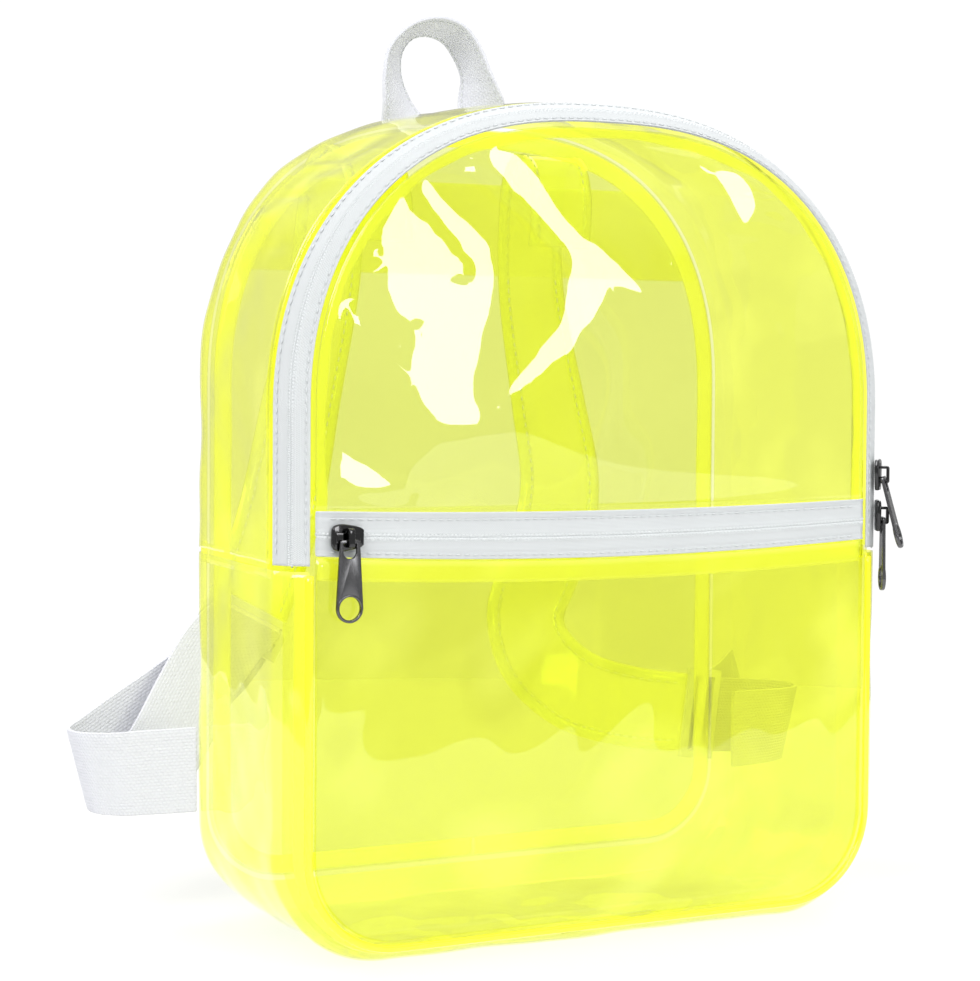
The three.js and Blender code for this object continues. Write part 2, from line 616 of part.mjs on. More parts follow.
function addSliders() {
  const lift = COIL_LIFT + GAP;
  const sag = (1 - (2 * POCKET_SLIDER_X) ** 2) * (POCKET_ZIP_TOP_SAG + POCKET_ZIP_BOTTOM_SAG) / 2;
  const middle = (POCKET_ZIP_TOP_Z + POCKET_ZIP_BOTTOM_Z) / 2 - COIL_DROP - sag;
  const pocketAt = new THREE.Vector3(POCKET_SLIDER_X * WIDTH, FRONT_Y - lift, middle);
  addSlider('pocket_slider', 'pocket_pull', pocketAt, 0, Math.PI / 2, 0);
  const { split, shoulder } = OUTLINE_BREAKS;
  const straight = STATIONS[0].shoulder * HEIGHT - GUSSET_SPLIT_Z;
  for (const { end, z, outAngle, hang } of MAIN_SLIDERS) {
    const place = split + ((z * HEIGHT - GUSSET_SPLIT_Z) / straight) * (shoulder - split);
    const outward = formNormal(place, MAIN_SLIDER_THROUGH);
    const at = formPoint(place, MAIN_SLIDER_THROUGH).addScaledVector(outward, lift + MAIN_SLIDER_LIFT);
    addSlider(`main_slider_${end}`, `main_pull_${end}`, at, toRadians(outAngle), 0, toRadians(hang));
  }
}

// Carry handle: a loop of webbing that stands on the back seam, its width turning from flat to edge-on
function addHandle() {
  const edge = (sign) => HANDLE_ROWS.map(({ span, rise, back, turn, tilt }) => {
    const a = toRadians(turn);
    const reach = (sign * HANDLE_WIDTH) / 2;
    const x = HANDLE_X + span * HANDLE_HALF_SPAN + reach * Math.cos(a);
    const foot = crownHeightAt(station(HANDLE_THROUGH), x) + GAP;
    const y = BACK_Y + back * HANDLE_WIDTH + reach * Math.sin(a);
    return new THREE.Vector3(x, y, foot + rise * HANDLE_HEIGHT - sign * tilt * HANDLE_WIDTH / 2);
  });
  add('carry_handle', strip(edge(-1), edge(1), 30, HANDLE_WALL), whiteWebbing());
}

function ribbonEdge(rows, side, sign) {
  return rows.map(({ x, back, z, half, lean }) => {
    const a = toRadians(lean);
    const reach = sign * half * WIDTH;
    return new THREE.Vector3(
      side * (x * WIDTH + reach * Math.sin(a)),
      BACK_Y + back * DEPTH,
      z * HEIGHT + reach * Math.cos(a),
    );
  });
}

// A place along a strap's run beyond its end, as a row of the ribbon tables
function beyondStrap(name, distance, forward = 0) {
  const end = STRAP_ROWS[name].at(-1);
  const lean = toRadians(end.lean);
  return {
    ...end,
    x: end.x + (distance * Math.cos(lean)) / WIDTH,
    back: end.back - forward / DEPTH,
    z: end.z - (distance * Math.sin(lean)) / HEIGHT,
    half: WEBBING_HALF,
  };
}

function addStraps() {
  const rootX = (station(2).half + GAP + WEBBING_WALL / 3) / WIDTH;
  const tailLift = (SLIDE_WALL + WEBBING_WALL) / 2 + GAP;
  for (const { name, side, tailSide } of STRAP_SIDES) {
    const ribbon = (rows, columns, thick) => {
      const [inner, outer] = [-1, 1].map((sign) => ribbonEdge(rows, side, sign));
      return strip(inner, outer, columns, thick);
    };
    const [root, ...loop] = WEBBING_ROWS[name];
    const webbing = [{ ...root, x: rootX }, ...loop, beyondStrap(name, SLIDE_LENGTH + 2 * GAP)];
    const tail = [beyondStrap(name, SLIDE_LENGTH / 3, tailSide * tailLift), ...TAIL_ROWS[name]];
    add(`shoulder_strap_${name}`, ribbon(STRAP_ROWS[name], 30, STRAP_WALL), clearYellow());
    add(`lower_webbing_${name}`, ribbon(webbing, 30, WEBBING_WALL), whiteWebbing());
    add(`webbing_tail_${name}`, ribbon(tail, 12, WEBBING_WALL), whiteWebbing());
    addSlide(name, side);
  }
}

// The slide lies between the strap's end and the webbing, square to the strap
function addSlide(name, side) {
  const centre = beyondStrap(name, SLIDE_LENGTH / 2 + GAP);
  const lean = toRadians(centre.lean);
  const along = new THREE.Vector3(side * Math.cos(lean), 0, -Math.sin(lean));
  const wide = new THREE.Vector3(side * Math.sin(lean), 0, Math.cos(lean));
  const slide = add(`strap_slide_${name}`, slideGeometry(), whitePlastic());
  const square = new THREE.Matrix4().makeBasis(wide, along, wide.clone().cross(along));
  slide.quaternion.setFromRotationMatrix(square);
  slide.position.set(side * centre.x * WIDTH, BACK_Y + centre.back * DEPTH, centre.z * HEIGHT);
}

// Strap slide: a flat frame with a middle bar
function slideGeometry() {
  const outline = new THREE.Shape();
  const halfWidth = SLIDE_WIDTH / 2;
  const halfLength = SLIDE_LENGTH / 2;
  outline.moveTo(-halfWidth, -halfLength);
  outline.lineTo(halfWidth, -halfLength);
  outline.lineTo(halfWidth, halfLength);
  outline.lineTo(-halfWidth, halfLength);
  const slotLength = (SLIDE_LENGTH - 3 * SLIDE_BAR) / 2;
  for (const low of [-halfLength + SLIDE_BAR, SLIDE_BAR / 2]) {
    const slot = new THREE.Path();
    slot.moveTo(-halfWidth + SLIDE_BAR, low);
    slot.lineTo(-halfWidth + SLIDE_BAR, low + slotLength);
    slot.lineTo(halfWidth - SLIDE_BAR, low + slotLength);
    slot.lineTo(halfWidth - SLIDE_BAR, low);
    outline.holes.push(slot);
  }
  const frame = { depth: SLIDE_WALL, bevelEnabled: false };
  return new THREE.ExtrudeGeometry(outline, frame).translate(0, 0, -SLIDE_WALL / 2);
}

addPanels();
addZips();
addSliders();
addHandle();
addStraps();

export default backpack;
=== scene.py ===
"""A small clear backpack with an arched main zip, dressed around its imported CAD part."""

import math

import bmesh
import bpy
import numpy as np
from bpy.props import FloatProperty, FloatVectorProperty, PointerProperty
from bpy.types import Operator, Panel, PropertyGroup
from mathutils import Matrix, Vector


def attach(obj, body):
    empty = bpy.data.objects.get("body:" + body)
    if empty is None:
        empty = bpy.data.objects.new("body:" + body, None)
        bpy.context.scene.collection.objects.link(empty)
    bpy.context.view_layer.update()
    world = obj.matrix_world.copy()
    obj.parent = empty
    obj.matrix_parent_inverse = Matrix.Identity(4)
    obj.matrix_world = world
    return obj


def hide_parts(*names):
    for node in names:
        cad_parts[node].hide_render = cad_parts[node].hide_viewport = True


bl_info = {
    "name": "Clear backpack",
    "version": (1, 0, 0),
    "blender": (4, 5, 0),
    "location": "View3D > Sidebar > Backpack",
    "description": "Builds the films, zips, webbing and sliders of a small clear backpack",
    "category": "Object",
}

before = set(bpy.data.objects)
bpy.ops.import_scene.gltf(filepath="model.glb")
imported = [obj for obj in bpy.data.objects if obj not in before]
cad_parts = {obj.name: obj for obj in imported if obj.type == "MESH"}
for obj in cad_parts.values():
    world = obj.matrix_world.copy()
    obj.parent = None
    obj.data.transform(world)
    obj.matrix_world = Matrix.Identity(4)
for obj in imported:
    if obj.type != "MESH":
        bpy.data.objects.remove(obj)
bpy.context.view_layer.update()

MM = 0.001
BAG = "bag"
# Step of the places on either side of a point that give its direction
SMALL_STEP = 0.004

# The bag's form, in millimetres, as in the CAD part
WIDTH = 251.0
HEIGHT = 308.0
DEPTH = 105.0
FRONT_Y = -DEPTH / 2
BACK_Y = DEPTH / 2
SEAM_GAP = 1.1
SPLIT_Z = 0.455 * HEIGHT
SPLIT_GAP = 0.002
CORNER_ROUNDING = 0.55
STATION_COLUMNS = ("y", "half", "base", "top", "shoulder", "corner", "side_power", "crown_power")
STATION_UNITS = np.array([1, WIDTH, HEIGHT, HEIGHT, HEIGHT, HEIGHT, 1, 1])
STATIONS = np.array([
    [0.000, 0.458, 0.026, 0.962, 0.635, 0.105, 2.55, 2.15],
    [0.100, 0.500, 0.000, 0.988, 0.630, 0.140, 2.40, 2.10],
    [0.930, 0.474, 0.000, 1.000, 0.650, 0.125, 2.60, 2.20],
    [1.000, 0.452, 0.036, 0.990, 0.650, 0.100, 2.65, 2.25],
])
# Shares of the half outline, from the middle of the base round to the crown
BASE_END, CORNER_END, SPLIT, SHOULDER, CROWN = 0.2, 0.3, 0.45, 0.62, 1.0

# Zips
POCKET_ZIP_TOP_Z = 0.518 * HEIGHT
POCKET_ZIP_BOTTOM_Z = 0.468 * HEIGHT
POCKET_ZIP_TOP_SAG = 2.0
POCKET_ZIP_BOTTOM_SAG = 3.5
COIL_DROP = 0.6
COIL_WIDTH = 2.6
GAP = 0.4

# Stitches
STITCH_LENGTH = 2.6
THREAD_RADIUS = 0.32
STITCH_LOOK = 0.4
STRAP_STITCH_PITCH = 3.8
HANDLE_STITCH_PITCH = 3.0

# Thickness of the folded edges
ALLOWANCE_WALL = 0.9
HEM_WALL = 0.6
LAP_WALL = 0.5


def mix(a, b, share):
    return a + (b - a) * share


def bell(u):
    return np.exp(-u * u)


def smoothstep(low, high, x):
    t = np.clip((x - low) / (high - low), 0, 1)
    return t * t * (3 - 2 * t)


def station(through):
    """Outline sizes through the depth: 0 front seam, 1 outer front corner, 2 rear corner, 3 back seam."""
    through = np.asarray(through, float)
    i = np.clip(np.floor(through), 0, 2).astype(int)
    t = through - i
    early = mix(t, np.sin(t * math.pi / 2), CORNER_ROUNDING)
    late = mix(t, 1 - np.cos(t * math.pi / 2), CORNER_ROUNDING)
    across = np.choose(i, [early, t, late])
    along = np.choose(i, [late, t, early])
    low, high = STATIONS[i], STATIONS[i + 1]
    sizes = (low + (high - low) * across[..., None]) * STATION_UNITS
    s = {name: sizes[..., k] for k, name in enumerate(STATION_COLUMNS)}
    s["y"] = FRONT_Y + DEPTH * mix(low[..., 0], high[..., 0], along)
    return s


def inset(s, by):
    """The same outline, drawn in by a distance."""
    steps = {"half": -by, "base": by, "top": -by, "corner": -by}
    return {**s, **{name: s[name] + step for name, step in steps.items()}}


def outline_point(s, place):
    """x and z of an outline: 0 is the middle of the base, 1 the crown past +X, 2 the base again past -X."""
    wrapped = np.mod(place, 2)
    side = np.where(wrapped > 1, -1.0, 1.0)
    q = np.where(wrapped > 1, 2 - wrapped, wrapped)
    turn = np.clip((q - BASE_END) / (CORNER_END - BASE_END), 0, 1) * math.pi / 2
    rise = np.clip((q - SHOULDER) / (CROWN - SHOULDER), 0, 1) * math.pi / 2
    half, corner, base = s["half"], s["corner"], s["base"]
    parts = [q <= BASE_END, q <= CORNER_END, q <= SPLIT, q <= SHOULDER]
    x = np.select(
        parts,
        [(half - corner) * q / BASE_END, half - corner + corner * np.sin(turn), half, half],
        half * np.maximum(np.cos(rise), 0) ** (2 / s["side_power"]),
    )
    z = np.select(
        parts,
        [
            base,
            base + corner * (1 - np.cos(turn)),
            mix(base + corner, SPLIT_Z, (q - CORNER_END) / (SPLIT - CORNER_END)),
            mix(SPLIT_Z, s["shoulder"], (q - SPLIT) / (SHOULDER - SPLIT)),
        ],
        s["shoulder"] + (s["top"] - s["shoulder"]) * np.maximum(np.sin(rise), 0) ** (2 / s["crown_power"]),
    )
    return side * x, z


def form_point(place, through):
    s = station(through)
    x, z = outline_point(s, place)
    return np.stack([x, s["y"] + 0 * x, z], axis=-1)


def unit(v):
    return v / np.maximum(np.linalg.norm(v, axis=-1, keepdims=True), 1e-12)


def form_normal(place, through):
    low = np.maximum(through - SMALL_STEP, 0)
    high = np.minimum(through + SMALL_STEP, 3)
    round_way = form_point(place + SMALL_STEP, through) - form_point(place - SMALL_STEP, through)
    inward = form_point(place, high) - form_point(place, low)
    return unit(np.cross(inward, round_way))


def half_width_at(s, z):
    drop = s["base"] + s["corner"] - z
    low = s["half"] - s["corner"] + np.sqrt(np.maximum(s["corner"] ** 2 - drop ** 2, 0))
    rise = np.clip((z - s["shoulder"]) / (s["top"] - s["shoulder"]), 0, 1)
    high = s["half"] * np.maximum(1 - rise ** s["crown_power"], 0) ** (1 / s["side_power"])
    return np.where(drop > 0, low, np.where(z <= s["shoulder"], s["half"], high))


def crown_height_at(s, x):
    share = np.minimum(np.abs(x) / s["half"], 1)
    rise = (1 - share ** s["side_power"]) ** (1 / s["crown_power"])
    return s["shoulder"] + (s["top"] - s["shoulder"]) * rise


def ripples(points, waves):
    """A sum of slow waves, each with a depth, a length in each direction and a phase."""
    total = 0
    for depth, *lengths, phase in waves:
        turns = sum(points[..., axis] / length for axis, length in enumerate(lengths))
        total = total + depth * np.sin(2 * math.pi * turns + phase)
    return total


# Folds of the gusset: places round the outline and through the depth, both reaches, and the depth in mm
GUSSET_FOLDS = [
    (0.52, 1.45, 0.06, 0.30, -1.8),
    (0.70, 1.60, 0.03, 0.35, -2.2),
    (0.78, 1.45, 0.02, 0.30, 1.5),
    (0.86, 1.60, 0.03, 0.35, -2.0),
    (1.00, 1.35, 0.07, 0.28, 1.4),
    (1.14, 1.55, 0.03, 0.35, -2.0),
    (1.24, 1.45, 0.03, 0.30, 1.4),
    (1.32, 1.60, 0.04, 0.35, -2.0),
    (1.48, 1.45, 0.06, 0.30, -1.8),
    (0.38, 1.55, 0.04, 0.30, 2.2),
    (1.62, 1.55, 0.04, 0.30, 2.2),
    (1.19, 1.30, 0.008, 0.16, 0.9),
    (1.21, 1.52, 0.006, 0.20, -0.9),
    (1.235, 1.70, 0.008, 0.16, 0.9),
    (1.26, 1.38, 0.006, 0.14, -0.8),
    (1.17, 1.62, 0.006, 0.15, 0.8),
    (0.81, 1.35, 0.008, 0.18, 0.9),
    (0.77, 1.62, 0.007, 0.18, -0.9),
    (0.90, 1.50, 0.008, 0.20, 0.8),
]


def fold_depth(place, through):
    total = 0
    for at, deep, reach, reach_deep, depth in GUSSET_FOLDS:
        total = total + depth * bell((place - at) / reach) * bell((through - deep) / reach_deep)
    return total


# Mesh helpers

def new_object(name, bm, finish, body=BAG, smooth=True):
    """An object from a bmesh, with its finish, that rides on a body."""
    mesh = bpy.data.meshes.new(name)
    bm.to_mesh(mesh)
    bm.free()
    if smooth:
        mesh.polygons.foreach_set("use_smooth", [True] * len(mesh.polygons))
    mesh.materials.append(finish)
    piece = bpy.data.objects.new(name, mesh)
    bpy.context.scene.collection.objects.link(piece)
    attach(piece, body)
    return piece


def stretch_lengths(place):
    """Lengths of a placed grid's two middle lines in metres, for its UV map."""
    line = np.linspace(0, 1, 80)
    half = np.full(80, 0.5)
    lines = (place(line, half), place(half, line))
    return [np.linalg.norm(np.diff(points, axis=0), axis=-1).sum() * MM for points in lines]


def grid_piece(name, columns, rows, place, finish, wall, outward=True, offset=-1.0):
    """A sheet whose vertices place(u, v) puts in millimetres, with a wall, and with lengths as its UV map."""
    bm = bmesh.new()
    bmesh.ops.create_grid(bm, x_segments=columns, y_segments=rows, size=0.5)
    shares = np.array([v.co.xy for v in bm.verts]) + 0.5
    points = place(shares[:, 0], shares[:, 1]) * MM
    for vertex, point in zip(bm.verts, points):
        vertex.co = point
    length_u, length_v = stretch_lengths(place)
    layer = bm.loops.layers.uv.new("Lengths")
    for face in bm.faces:
        for loop in face.loops:
            u, v = shares[loop.vert.index]
            loop[layer].uv = (u * length_u, v * length_v)
    bm.normal_update()
    if outward:
        middle = Vector((0, 0, HEIGHT / 2 * MM))
        facing = sum((f.calc_center_median() - middle).dot(f.normal) * f.calc_area() for f in bm.faces)
        if facing < 0:
            bmesh.ops.reverse_faces(bm, faces=bm.faces)
    piece = new_object(name, bm, finish)
    if wall:
        solid = piece.modifiers.new("Wall", "SOLIDIFY")
        solid.thickness = wall * MM
        solid.offset = offset
        solid.use_even_offset = False
    return piece


def form_sheet(start, end, front, back, raised=0.0, folded=False, shape=None):
    """Places a stretch of the bag's form; shape(u, v) adds a height of its own."""
    def place(u, v):
        at = mix(start, end, u)
        through = mix(front, back, v)
        lift = raised + (fold_depth(at, through) if folded else 0)
        if shape is not None:
            lift = lift + shape(u, v)
        return form_point(at, through) + form_normal(at, through) * np.reshape(lift, (-1, 1))
    return place


def smooth_curve(points, shares):
    """Centripetal Catmull-Rom curve through points, at shares of its run."""
    points = np.asarray(points, float)
    last = len(points) - 1
    padded = np.vstack([2 * points[0] - points[1], points, 2 * points[-1] - points[-2]])
    p = np.clip(shares, 0, 1) * last
    i = np.minimum(np.floor(p).astype(int), last - 1)
    w = (p - i)[:, None]
    a, b, c, d = (padded[i + k] for k in range(4))
    gap = [np.sum((q - r) ** 2, axis=1, keepdims=True) ** 0.25 for q, r in ((b, a), (c, b), (d, c))]
    before, here, after = gap
    leave = ((b - a) / before - (c - a) / (before + here) + (c - b) / here) * here
    arrive = ((c - b) / here - (d - b) / (here + after) + (d - c) / after) * here
    square = -3 * b + 3 * c - 2 * leave - arrive
    cube = 2 * b - 2 * c + leave + arrive
    return b + leave * w + square * w ** 2 + cube * w ** 3


def ribbon_sheet(left, right, lift=0.0, margin=(0.0, 1.0), shape=None):
    """Places a ribbon between two edge lines, with lift along its normal."""
    def place(u, v):
        a, b = smooth_curve(left, u), smooth_curve(right, u)
        ahead, behind = np.minimum(u + SMALL_STEP, 1), np.maximum(u - SMALL_STEP, 0)
        run = smooth_curve(left, ahead) + smooth_curve(right, ahead)
        run = run - smooth_curve(left, behind) - smooth_curve(right, behind)
        normal = unit(np.cross(run, b - a))
        across = mix(margin[0], margin[1], v)[:, None]
        height = lift if shape is None else lift + shape(u, v)
        return a + (b - a) * across + normal * np.reshape(height, (-1, 1))
    return place


def stitch_rows(name, rows):
    """Sewn stitches along lines of points in millimetres, one small rounded bar each."""
    bm = bmesh.new()
    size = Matrix.Diagonal((STITCH_LENGTH / 2 * MM, THREAD_RADIUS * MM, THREAD_RADIUS * MM, 1))
    for line, pitch in rows:
        steps = np.linalg.norm(np.diff(line, axis=0), axis=1)
        run = np.concatenate([[0], np.cumsum(steps)])
        count = max(int(run[-1] / pitch), 1)
        at = (np.arange(count) + 0.5) * run[-1] / count
        here, ahead, behind = (
            np.stack([np.interp(at + shift, run, line[:, axis]) for axis in range(3)], axis=1)
            for shift in (0, STITCH_LOOK, -STITCH_LOOK))
        for point, way in zip(here, ahead - behind):
            turn = Vector(way).to_track_quat("X", "Z").to_matrix().to_4x4()
            matrix = Matrix.Translation(Vector(point) * MM) @ turn @ size
            bmesh.ops.create_icosphere(bm, subdivisions=1, radius=1, matrix=matrix)
    return new_object(name, bm, finish_of("stitch_thread"))


# Finishes

def fill(tree, socket, value):
    """Links a socket to another one, or sets its value."""
    if isinstance(value, bpy.types.NodeSocket):
        tree.links.new(value, socket)
    else:
        socket.default_value = value


def put(tree, kind, settings=(), **inputs):
    """Adds a shader node with its settings and fills its inputs, whose names have _ for each space."""
    node = tree.nodes.new(f"ShaderNode{kind}")
    for name, value in dict(settings).items():
        setattr(node, name, value)
    for label, value in inputs.items():
        fill(tree, node.inputs[label.replace("_", " ")], value)
    return node


def put_math(tree, operation, *values, clamp=False):
    node = put(tree, "Math", {"operation": operation, "use_clamp": clamp})
    for socket, value in zip(node.inputs, values):
        fill(tree, socket, value)
    return node.outputs[0]


def put_noise(tree, vector, scale, detail, roughness=0.5):
    node = put(tree, "TexNoise", Vector=vector, Scale=scale, Detail=detail, Roughness=roughness)
    return node.outputs["Fac"]


def put_range(tree, value, low, high, to_low=0.0, to_high=1.0, interpolation="LINEAR"):
    node = put(
        tree, "MapRange", {"interpolation_type": interpolation},
        Value=value, From_Min=low, From_Max=high, To_Min=to_low, To_Max=to_high)
    return node.outputs["Result"]


def put_bump(tree, height, distance):
    return put(tree, "Bump", Height=height, Distance=distance, Strength=1.0).outputs["Normal"]


def put_ramp(tree, value, low, high):
    """A colour between two, by a value."""
    return put(tree, "Mix", {"data_type": "RGBA"}, Factor=value, A=(*low, 1), B=(*high, 1)).outputs["Result"]


def put_mix(tree, share, first, second):
    """A mix of two shaders."""
    node = put(tree, "MixShader", Fac=share)
    tree.links.new(first, node.inputs[1])
    tree.links.new(second, node.inputs[2])
    return node.outputs[0]


def put_clear(tree, tint):
    return put(tree, "BsdfTransparent", Color=(*tint, 1)).outputs[0]


def put_group(tree, name, **inputs):
    return put(tree, "Group", {"node_tree": bpy.data.node_groups[name]}, **inputs).outputs


def object_vector(tree):
    return put(tree, "TexCoord").outputs["Object"]


def new_group(name, inputs, outputs):
    """A shader node group with float outputs; returns it, its inputs' sockets and its outputs' sockets.

    An input without a value is a vector, and any other input is a float.
    """
    group = bpy.data.node_groups.new(name, "ShaderNodeTree")
    for label, value in inputs.items():
        kind = "NodeSocketVector" if value is None else "NodeSocketFloat"
        socket = group.interface.new_socket(label, in_out="INPUT", socket_type=kind)
        if value is not None:
            socket.default_value = value
    for label in outputs:
        group.interface.new_socket(label, in_out="OUTPUT", socket_type="NodeSocketFloat")
    return group, group.nodes.new("NodeGroupInput").outputs, group.nodes.new("NodeGroupOutput").inputs


def put_threads(group, place):
    """Round threads side by side, one for each whole number."""
    return put_math(group, "ABSOLUTE", put_math(group, "SINE", put_math(group, "MULTIPLY", place, math.pi)))


def make_weave_group():
    """Woven threads on a UV map in metres: a height, and a tone of painted shade between the threads over
    broad random tone.
    """
    inputs = {"Lengths": None, "Thread Pitch": 0.001, "Rib Pitch": 0.001}
    group, given, result = new_group("woven_threads", inputs, ("Height", "Tone"))
    split = put(group, "SeparateXYZ", Vector=given["Lengths"]).outputs
    along = put_math(group, "DIVIDE", split["X"], given["Rib Pitch"])
    across = put_math(group, "DIVIDE", split["Y"], given["Thread Pitch"])
    shift = put_math(group, "MULTIPLY", put_math(group, "FLOOR", across), 0.5)
    thread = put_math(group, "POWER", put_threads(group, across), 0.6)
    rib = put_math(group, "POWER", put_threads(group, put_math(group, "ADD", along, shift)), 0.7)
    weave = put_math(group, "MULTIPLY", thread, rib)
    fuzz = put_math(group, "MULTIPLY", put_noise(group, given["Lengths"], 900.0, 3.0), 0.35)
    fill(group, result["Height"], put_math(group, "ADD", weave, fuzz))
    broad = put_math(group, "MULTIPLY", put_noise(group, given["Lengths"], 45.0, 2.0), 0.5)
    # Painted shade: the tone follows the weave's height, darker between the threads
    woven = put_math(group, "MULTIPLY", weave, 0.6)
    fill(group, result["Tone"], put_math(group, "ADD", woven, broad, clamp=True))


def make_ripple_group():
    """Soft ripples of pressed film in object space."""
    inputs = {"Vector": None, "Ripple Scale": 20.0}
    group, given, result = new_group("film_ripple", inputs, ("Height", "Tone"))
    broad = put_noise(group, given["Vector"], given["Ripple Scale"], 1.0)
    for label in ("Height", "Tone"):
        fill(group, result[label], broad)


def make_painted_sheen_group():
    """A mask of large soft patches and slanting streaks of painted sheen, where folded film would catch the
    light.
    """
    group, given, result = new_group("painted_sheen_streaks", {"Vector": None}, ("Mask",))
    slant = put(
        group, "Mapping", {"vector_type": "TEXTURE"},
        Vector=given["Vector"], Rotation=(0, math.radians(-35), 0), Scale=(3.4, 1.0, 1.0))
    streaks = put_noise(group, slant.outputs["Vector"], 30.0, 2.0, 0.45)
    patches = put_noise(group, given["Vector"], 17.0, 1.0)
    both = put_math(group, "MULTIPLY", streaks, patches)
    fill(group, result["Mask"], put_range(group, both, 0.22, 0.40, interpolation="SMOOTHSTEP"))


def make_grain_group():
    """Fine grain of cast metal and moulded plastic: a height, a roughness and a tone."""
    inputs = {"Vector": None, "Roughness Low": 0.2, "Roughness High": 0.4}
    group, given, result = new_group("cast_grain", inputs, ("Height", "Roughness", "Tone"))
    broad = put_noise(group, given["Vector"], 320.0, 4.0, 0.65)
    roughness = put_range(group, broad, 0.35, 0.65, given["Roughness Low"], given["Roughness High"])
    fill(group, result["Height"], put_noise(group, given["Vector"], 1800.0, 3.0))
    fill(group, result["Roughness"], roughness)
    fill(group, result["Tone"], broad)


def new_finish(name):
    """A material without nodes but its output; returns its node tree and the socket of its surface."""
    finish = bpy.data.materials.new(name)
    finish.use_nodes = True
    tree = finish.node_tree
    tree.nodes.clear()
    return tree, put(tree, "OutputMaterial").inputs["Surface"]


# What a film lets through on the way to other surfaces, and the pale colour of the painted sheen that films
# emit in streaks over their soft folds
PASSING = (0.97, 0.975, 0.90)
PAINTED_SHEEN_COLOUR = (1.0, 1.0, 0.38)
# Mirrored share of light at right angles, for the two faces of a film together, and what a slant adds
MIRRORED = 0.085
MIRRORED_ASLANT = 0.9


def make_film(name, tint, body, milk, painted_glow=0.0, painted_sheen_strength=0.0, ripple=0.0006, ripple_scale=22.0, gloss=0.03):
    """Clear tinted film: light passes with a tint, a little is scattered, the scattering part emits a painted
    glow and painted sheen streaks, and the face mirrors by the angle.

    The face where light enters stands for both faces; the one where it leaves is clear.
    """
    tree, surface = new_finish(name)
    waves = put_group(tree, "film_ripple", Vector=object_vector(tree), Ripple_Scale=ripple_scale)
    # Painted glow: the scattering part emits a share of its body colour, whatever light falls on it
    low = [painted_glow * c for c in body]
    light = (*low, 1)
    # Painted sheen: the emitted colour turns pale in soft patches and slanting streaks over the film
    if painted_sheen_strength:
        sheen_streaks = put_group(tree, "painted_sheen_streaks", Vector=object_vector(tree))
        light = put_ramp(tree, sheen_streaks["Mask"], low, [a + painted_sheen_strength * b for a, b in zip(low, PAINTED_SHEEN_COLOUR)])
    scatter = put(
        tree, "BsdfPrincipled", Base_Color=put_ramp(tree, waves["Tone"], [c * 0.93 for c in body], body),
        Roughness=0.5, Specular_IOR_Level=0.0, Emission_Color=light, Emission_Strength=1.0)
    normal = put_bump(tree, waves["Height"], ripple)
    mirror = put(tree, "BsdfGlossy", Color=(1, 1, 1, 1), Roughness=gloss, Normal=normal)
    facing = put(tree, "LayerWeight", Blend=0.5).outputs["Facing"]
    edge = put_math(tree, "MULTIPLY", put_math(tree, "POWER", facing, 5.0), MIRRORED_ASLANT)
    share = put_math(tree, "ADD", edge, MIRRORED, clamp=True)
    seen = put_mix(tree, milk, put_clear(tree, tint), scatter.outputs[0])
    seen = put_mix(tree, share, seen, mirror.outputs[0])
    path = put(tree, "LightPath").outputs
    unseen = put_math(tree, "MAXIMUM", path["Is Shadow Ray"], path["Is Diffuse Ray"])
    entered = put_mix(tree, unseen, seen, put_clear(tree, PASSING))
    leaving = put(tree, "NewGeometry").outputs["Backfacing"]
    fill(tree, surface, put_mix(tree, leaving, entered, put_clear(tree, (1, 1, 1))))


def make_fabric(name, low, high, thread_pitch, rib_pitch, depth, sheen=0.2, roughness=0.85):
    """Woven tape, webbing or thread, with painted shade between its threads."""
    tree, surface = new_finish(name)
    lengths = put(tree, "UVMap", {"uv_map": "Lengths"}).outputs["UV"]
    weave = put_group(tree, "woven_threads", Lengths=lengths, Thread_Pitch=thread_pitch, Rib_Pitch=rib_pitch)
    # The base colour takes the weave's painted shade between threads, over random broad tone
    cloth = put(
        tree, "BsdfPrincipled", Base_Color=put_ramp(tree, weave["Tone"], low, high), Roughness=roughness,
        Sheen_Weight=sheen, Normal=put_bump(tree, weave["Height"], depth))
    fill(tree, surface, cloth.outputs[0])


def make_hard(name, low, high, metallic, rough_low, rough_high, depth, coat=0.0):
    """Cast metal or moulded plastic."""
    tree, surface = new_finish(name)
    grain = put_group(
        tree, "cast_grain", Vector=object_vector(tree), Roughness_Low=rough_low, Roughness_High=rough_high)
    tone = put_ramp(tree, grain["Tone"], low, high)
    solid = put(
        tree, "BsdfPrincipled", Base_Color=tone, Roughness=grain["Roughness"],
        Normal=put_bump(tree, grain["Height"], depth), Metallic=metallic, Coat_Weight=coat)
    fill(tree, surface, solid.outputs[0])


def finish_of(name):
    return bpy.data.materials[name]


def shaded(tone, by):
    """A colour times a number or another colour."""
    return np.multiply(tone, by).tolist()


# Settings a user would change

def colour(name, description, value):
    return FloatVectorProperty(
        name=name, description=description, subtype="COLOR", default=value, min=0, max=1)


def millimetres(name, description, value, low, high):
    text = f"{description} in millimetres"
    return FloatProperty(name=name, description=text, default=value, min=low, max=high)


class BagColours(PropertyGroup):
    outer_tint: colour("Outer film tint", "What the outer films let through", (0.884, 0.922, 0.430))
    inner_tint: colour("Inner film tint", "What the inner films let through", (0.970, 0.985, 0.435))
    # The film and seam body colours also colour the painted glow that the films emit
    film_body: colour("Film body", "Light that the film scatters", (0.93, 0.95, 0.04))
    seam_body: colour("Seam body", "Light that the ridge of the seam scatters", (0.98, 0.91, 0.02))
    tape: colour("Zip tape", "Colour of the zip tapes", (0.76, 0.79, 0.80))
    webbing: colour("Webbing", "Colour of the webbing", (0.80, 0.81, 0.87))
    metal: colour("Metal", "Colour of sliders and pulls", (0.15, 0.15, 0.155))


